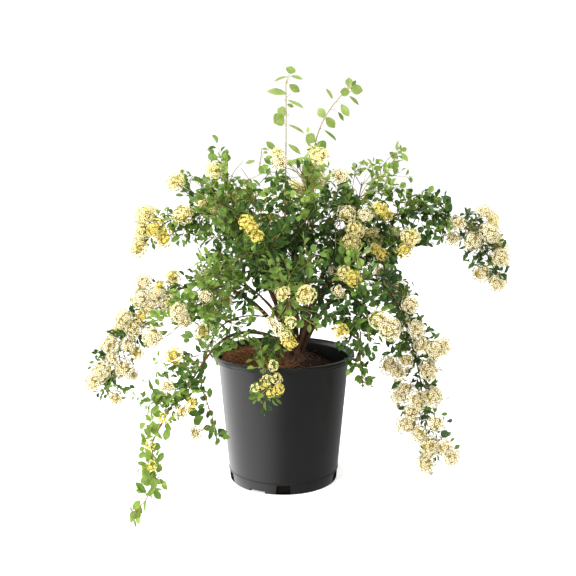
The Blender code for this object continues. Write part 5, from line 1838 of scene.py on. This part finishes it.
    def seen_bare_twig(self, pixels, kind, thick):
        """A twig that shows bare, from the nearest wood through its pixels."""
        hold, before = self.nearest_hold(pixels[0])
        toward = (CAMERA_PLACE - hold).normalized()
        places = [before]
        for step, pixel in enumerate(pixels):
            places.append(beside(hold + toward * BARE_FORWARD * step, pixel))
        curve = [Vector(place) for place in even_curve([tuple(place) for place in places], BARE_STEPS)]
        self.twig(kind, curve, thick, thick * BARE_TAPER)
        self.add_hold(curve)

    def stems_mesh(self, barks):
        """The stems inside the masses, with the relief of their bark."""
        batches = {kind: Tubes(sides) for kind, sides in STEM_SIDES.items()}
        nodes = {kind: [] for kind in batches}
        for stem in self.stems:
            shares = shares_between(stem.curve, stem.start, stem.end, STEM_STEP)
            slims = np.interp(shares, (stem.start, stem.start + STEM_SLIM_RUN), (1, STEM_GIRTH))
            radii = [max(STEM_FINEST, cane_radius(stem.cane, share) * slim)
                     for share, slim in zip(shares, slims)]
            kind = STEM_BARKS.get(stem.mass.look, "old")
            add_limb(batches[kind], stem.mass.name, stem.curve, shares, radii, STEM_RELIEF)
            nodes[kind].append("foliage_" + stem.mass.name)
        for kind, tubes in batches.items():
            piece("stems_" + kind, tubes.points, tubes.faces, barks[kind], "bark", nodes[kind])


def spray_tone(look, place, rng):
    """The leaf colour of one spray: darker deep inside the crown, painted shade, and lighter high up, painted
    light.
    """
    tones = look.inner if (place - CROWN_MIDDLE).length < PAINTED_SHADE_RADIUS else look.lit
    if place.z > LIT_CROWN_HEIGHT and "young" not in look.lit:
        tones = LIT_CROWN_TONES
    return rng.choices(list(tones), list(tones.values()))[0]


def stem_middle(stem):
    return on_curve(stem.curve, (leaf_share(stem) + stem.end) / 2)[0]


def grow(plant):
    """What the photograph shows, each thing at its pixel, and then the masses by the source's rule."""
    rng = random.Random("seen heads")
    seen = []
    for tone, heads in SEEN_HEADS.items():
        for column, row, size in heads:
            seen.append(plant.seen_head((column, row), size, tone, rng))
    for pixel in SEEN_SPRAYS:
        seen.append(plant.seen_spray(pixel, rng))
    for stem, curve in seen:
        plant.dress_seen_twig(stem, curve, rng)
    for pixels in SEEN_TWIGS:
        plant.seen_bare_twig(pixels, "woody", BARE_WOODY)
    for pixels in SEEN_TAN_TWIGS:
        plant.seen_bare_twig(pixels, "tan", BARE_TAN)
    for tone, leaves in SEEN_LEAVES.items():
        for leaf in leaves:
            plant.seen_leaf(leaf, tone, rng)
    for stem in plant.stems:
        plant.dress(stem)


def make_foliage(stems, barks):
    plant = Plant(stems)
    grow(plant)
    plant.stems_mesh(barks)
    nodes = ["foliage_" + stem.mass.name for stem in stems]
    for tone, colour in LEAF_TONES.items():
        finish = thin_finish("leaf_" + tone, colour, *LEAF_FINISH)
        piece("leaves_" + tone, *plant.leaves[tone].joined(), finish, "foliage", nodes)
    for tone, colour in PETAL_TONES.items():
        finish = thin_finish("petal_" + tone, colour, *PETAL_FINISH)
        piece("petals_" + tone, *plant.petals[tone].joined(), finish, "foliage", nodes)
        finish = rough_finish("heart_" + tone)
        piece("hearts_" + tone, *plant.hearts[tone].joined(), finish, "foliage", nodes)
    piece("buds", *plant.buds.joined(), rough_finish("buds"), "foliage", nodes)
    for kind, tubes in plant.twigs.items():
        piece("twigs_" + kind, tubes.points, tubes.faces, barks[TWIG_BARKS[kind]], "foliage", nodes)
    piece("stalks", plant.stalks.points, plant.stalks.faces, rough_finish("stalks"), "foliage", nodes)
    piece("head_cores", *plant.cores.joined(), rough_finish("head_cores"), "foliage", nodes)


# The stage

def make_floor():
    mesh = bpy.data.meshes.new("floor")
    corners = [(x * FLOOR_HALF, y * FLOOR_HALF, 0) for x, y in ((-1, -1), (1, -1), (1, 1), (-1, 1))]
    mesh.from_pydata(corners, [], [(0, 1, 2, 3)])
    floor = bpy.data.objects.new("floor", mesh)
    material, tree, shader = shader_of("pale_floor", FLOOR_ROUGHNESS, FLOOR_GLOSS)
    wandering_colour(tree, shader, *FLOOR_TONES, FLOOR_SCALE)
    shader.inputs["Emission Color"].default_value = (1, 1, 1, 1)
    shader.inputs["Emission Strength"].default_value = FLOOR_GLOW
    mesh.materials.append(material)
    bpy.context.scene.collection.objects.link(floor)
    floor.visible_glossy = False


def add_lamp(lamp):
    light = bpy.data.lights.new(lamp.name, "AREA")
    light.shape = "DISK"
    light.size = lamp.size
    light.energy = lamp.power
    holder = bpy.data.objects.new(lamp.name, light)
    holder.location = lamp.place
    holder.rotation_euler = (Vector(lamp.aim) - Vector(lamp.place)).to_track_quat("-Z", "Y").to_euler()
    holder.visible_camera = False
    holder.visible_glossy = lamp.name != "side"
    bpy.context.scene.collection.objects.link(holder)


def make_room():
    """Soft white light all round. In gloss its left side shows brighter than the rest."""
    world = bpy.data.worlds.new("studio")
    world.use_nodes = True
    tree = world.node_tree
    background = tree.nodes["Background"]
    background.inputs["Color"].default_value = (1, 1, 1, 1)
    path = add_node(tree, "LightPath", {})
    level = add_node(tree, "MapRange", {"To Min": ROOM_LIGHT})
    way = add_node(tree, "TexCoord", {})
    axes = add_node(tree, "SeparateXYZ", {})
    gloss = add_node(tree, "MapRange", {"From Min": LIT_SIDE_TO, "From Max": LIT_SIDE_FROM,
                                        "To Min": LIT_SIDE_GLOSS, "To Max": ROOM_GLOSS})
    gloss.interpolation_type = "SMOOTHSTEP"
    link(tree, way, "Generated", axes, "Vector")
    link(tree, axes, "X", gloss, "Value")
    link(tree, gloss, "Result", level, "To Max")
    link(tree, path, "Is Glossy Ray", level, "Value")
    link(tree, level, "Result", background, "Strength")
    bpy.context.scene.world = world


def make_camera():
    lens = bpy.data.cameras.new("camera")
    lens.sensor_width = SENSOR
    lens.lens = FOCAL_PIXELS * SENSOR / IMAGE_SIDE
    camera = bpy.data.objects.new("camera", lens)
    camera.location = CAMERA_PLACE
    camera.rotation_euler = (math.radians(90) - CAMERA_DIP, 0, 0)
    bpy.context.scene.collection.objects.link(camera)
    bpy.context.scene.camera = camera


def main():
    make_camera()
    make_room()
    for lamp in LAMPS:
        add_lamp(lamp)
    bpy.context.scene.view_settings.view_transform = "Standard"
    make_floor()
    make_pot()
    make_mix()
    make_crumbs()
    make_fibres()
    curves = {cane.name: cane_curve(cane) for cane in CANES}
    for name, pixels in SEEN_STEMS.items():
        curves[name] = bent_to_sight(curves[name], pixels)
    barks = {kind: rough_finish("bark_" + kind) for kind in ("old", "tan", "green")}
    make_clump(barks["old"])
    make_boughs(curves, barks)
    make_foliage(stems_of(curves), barks)


main()
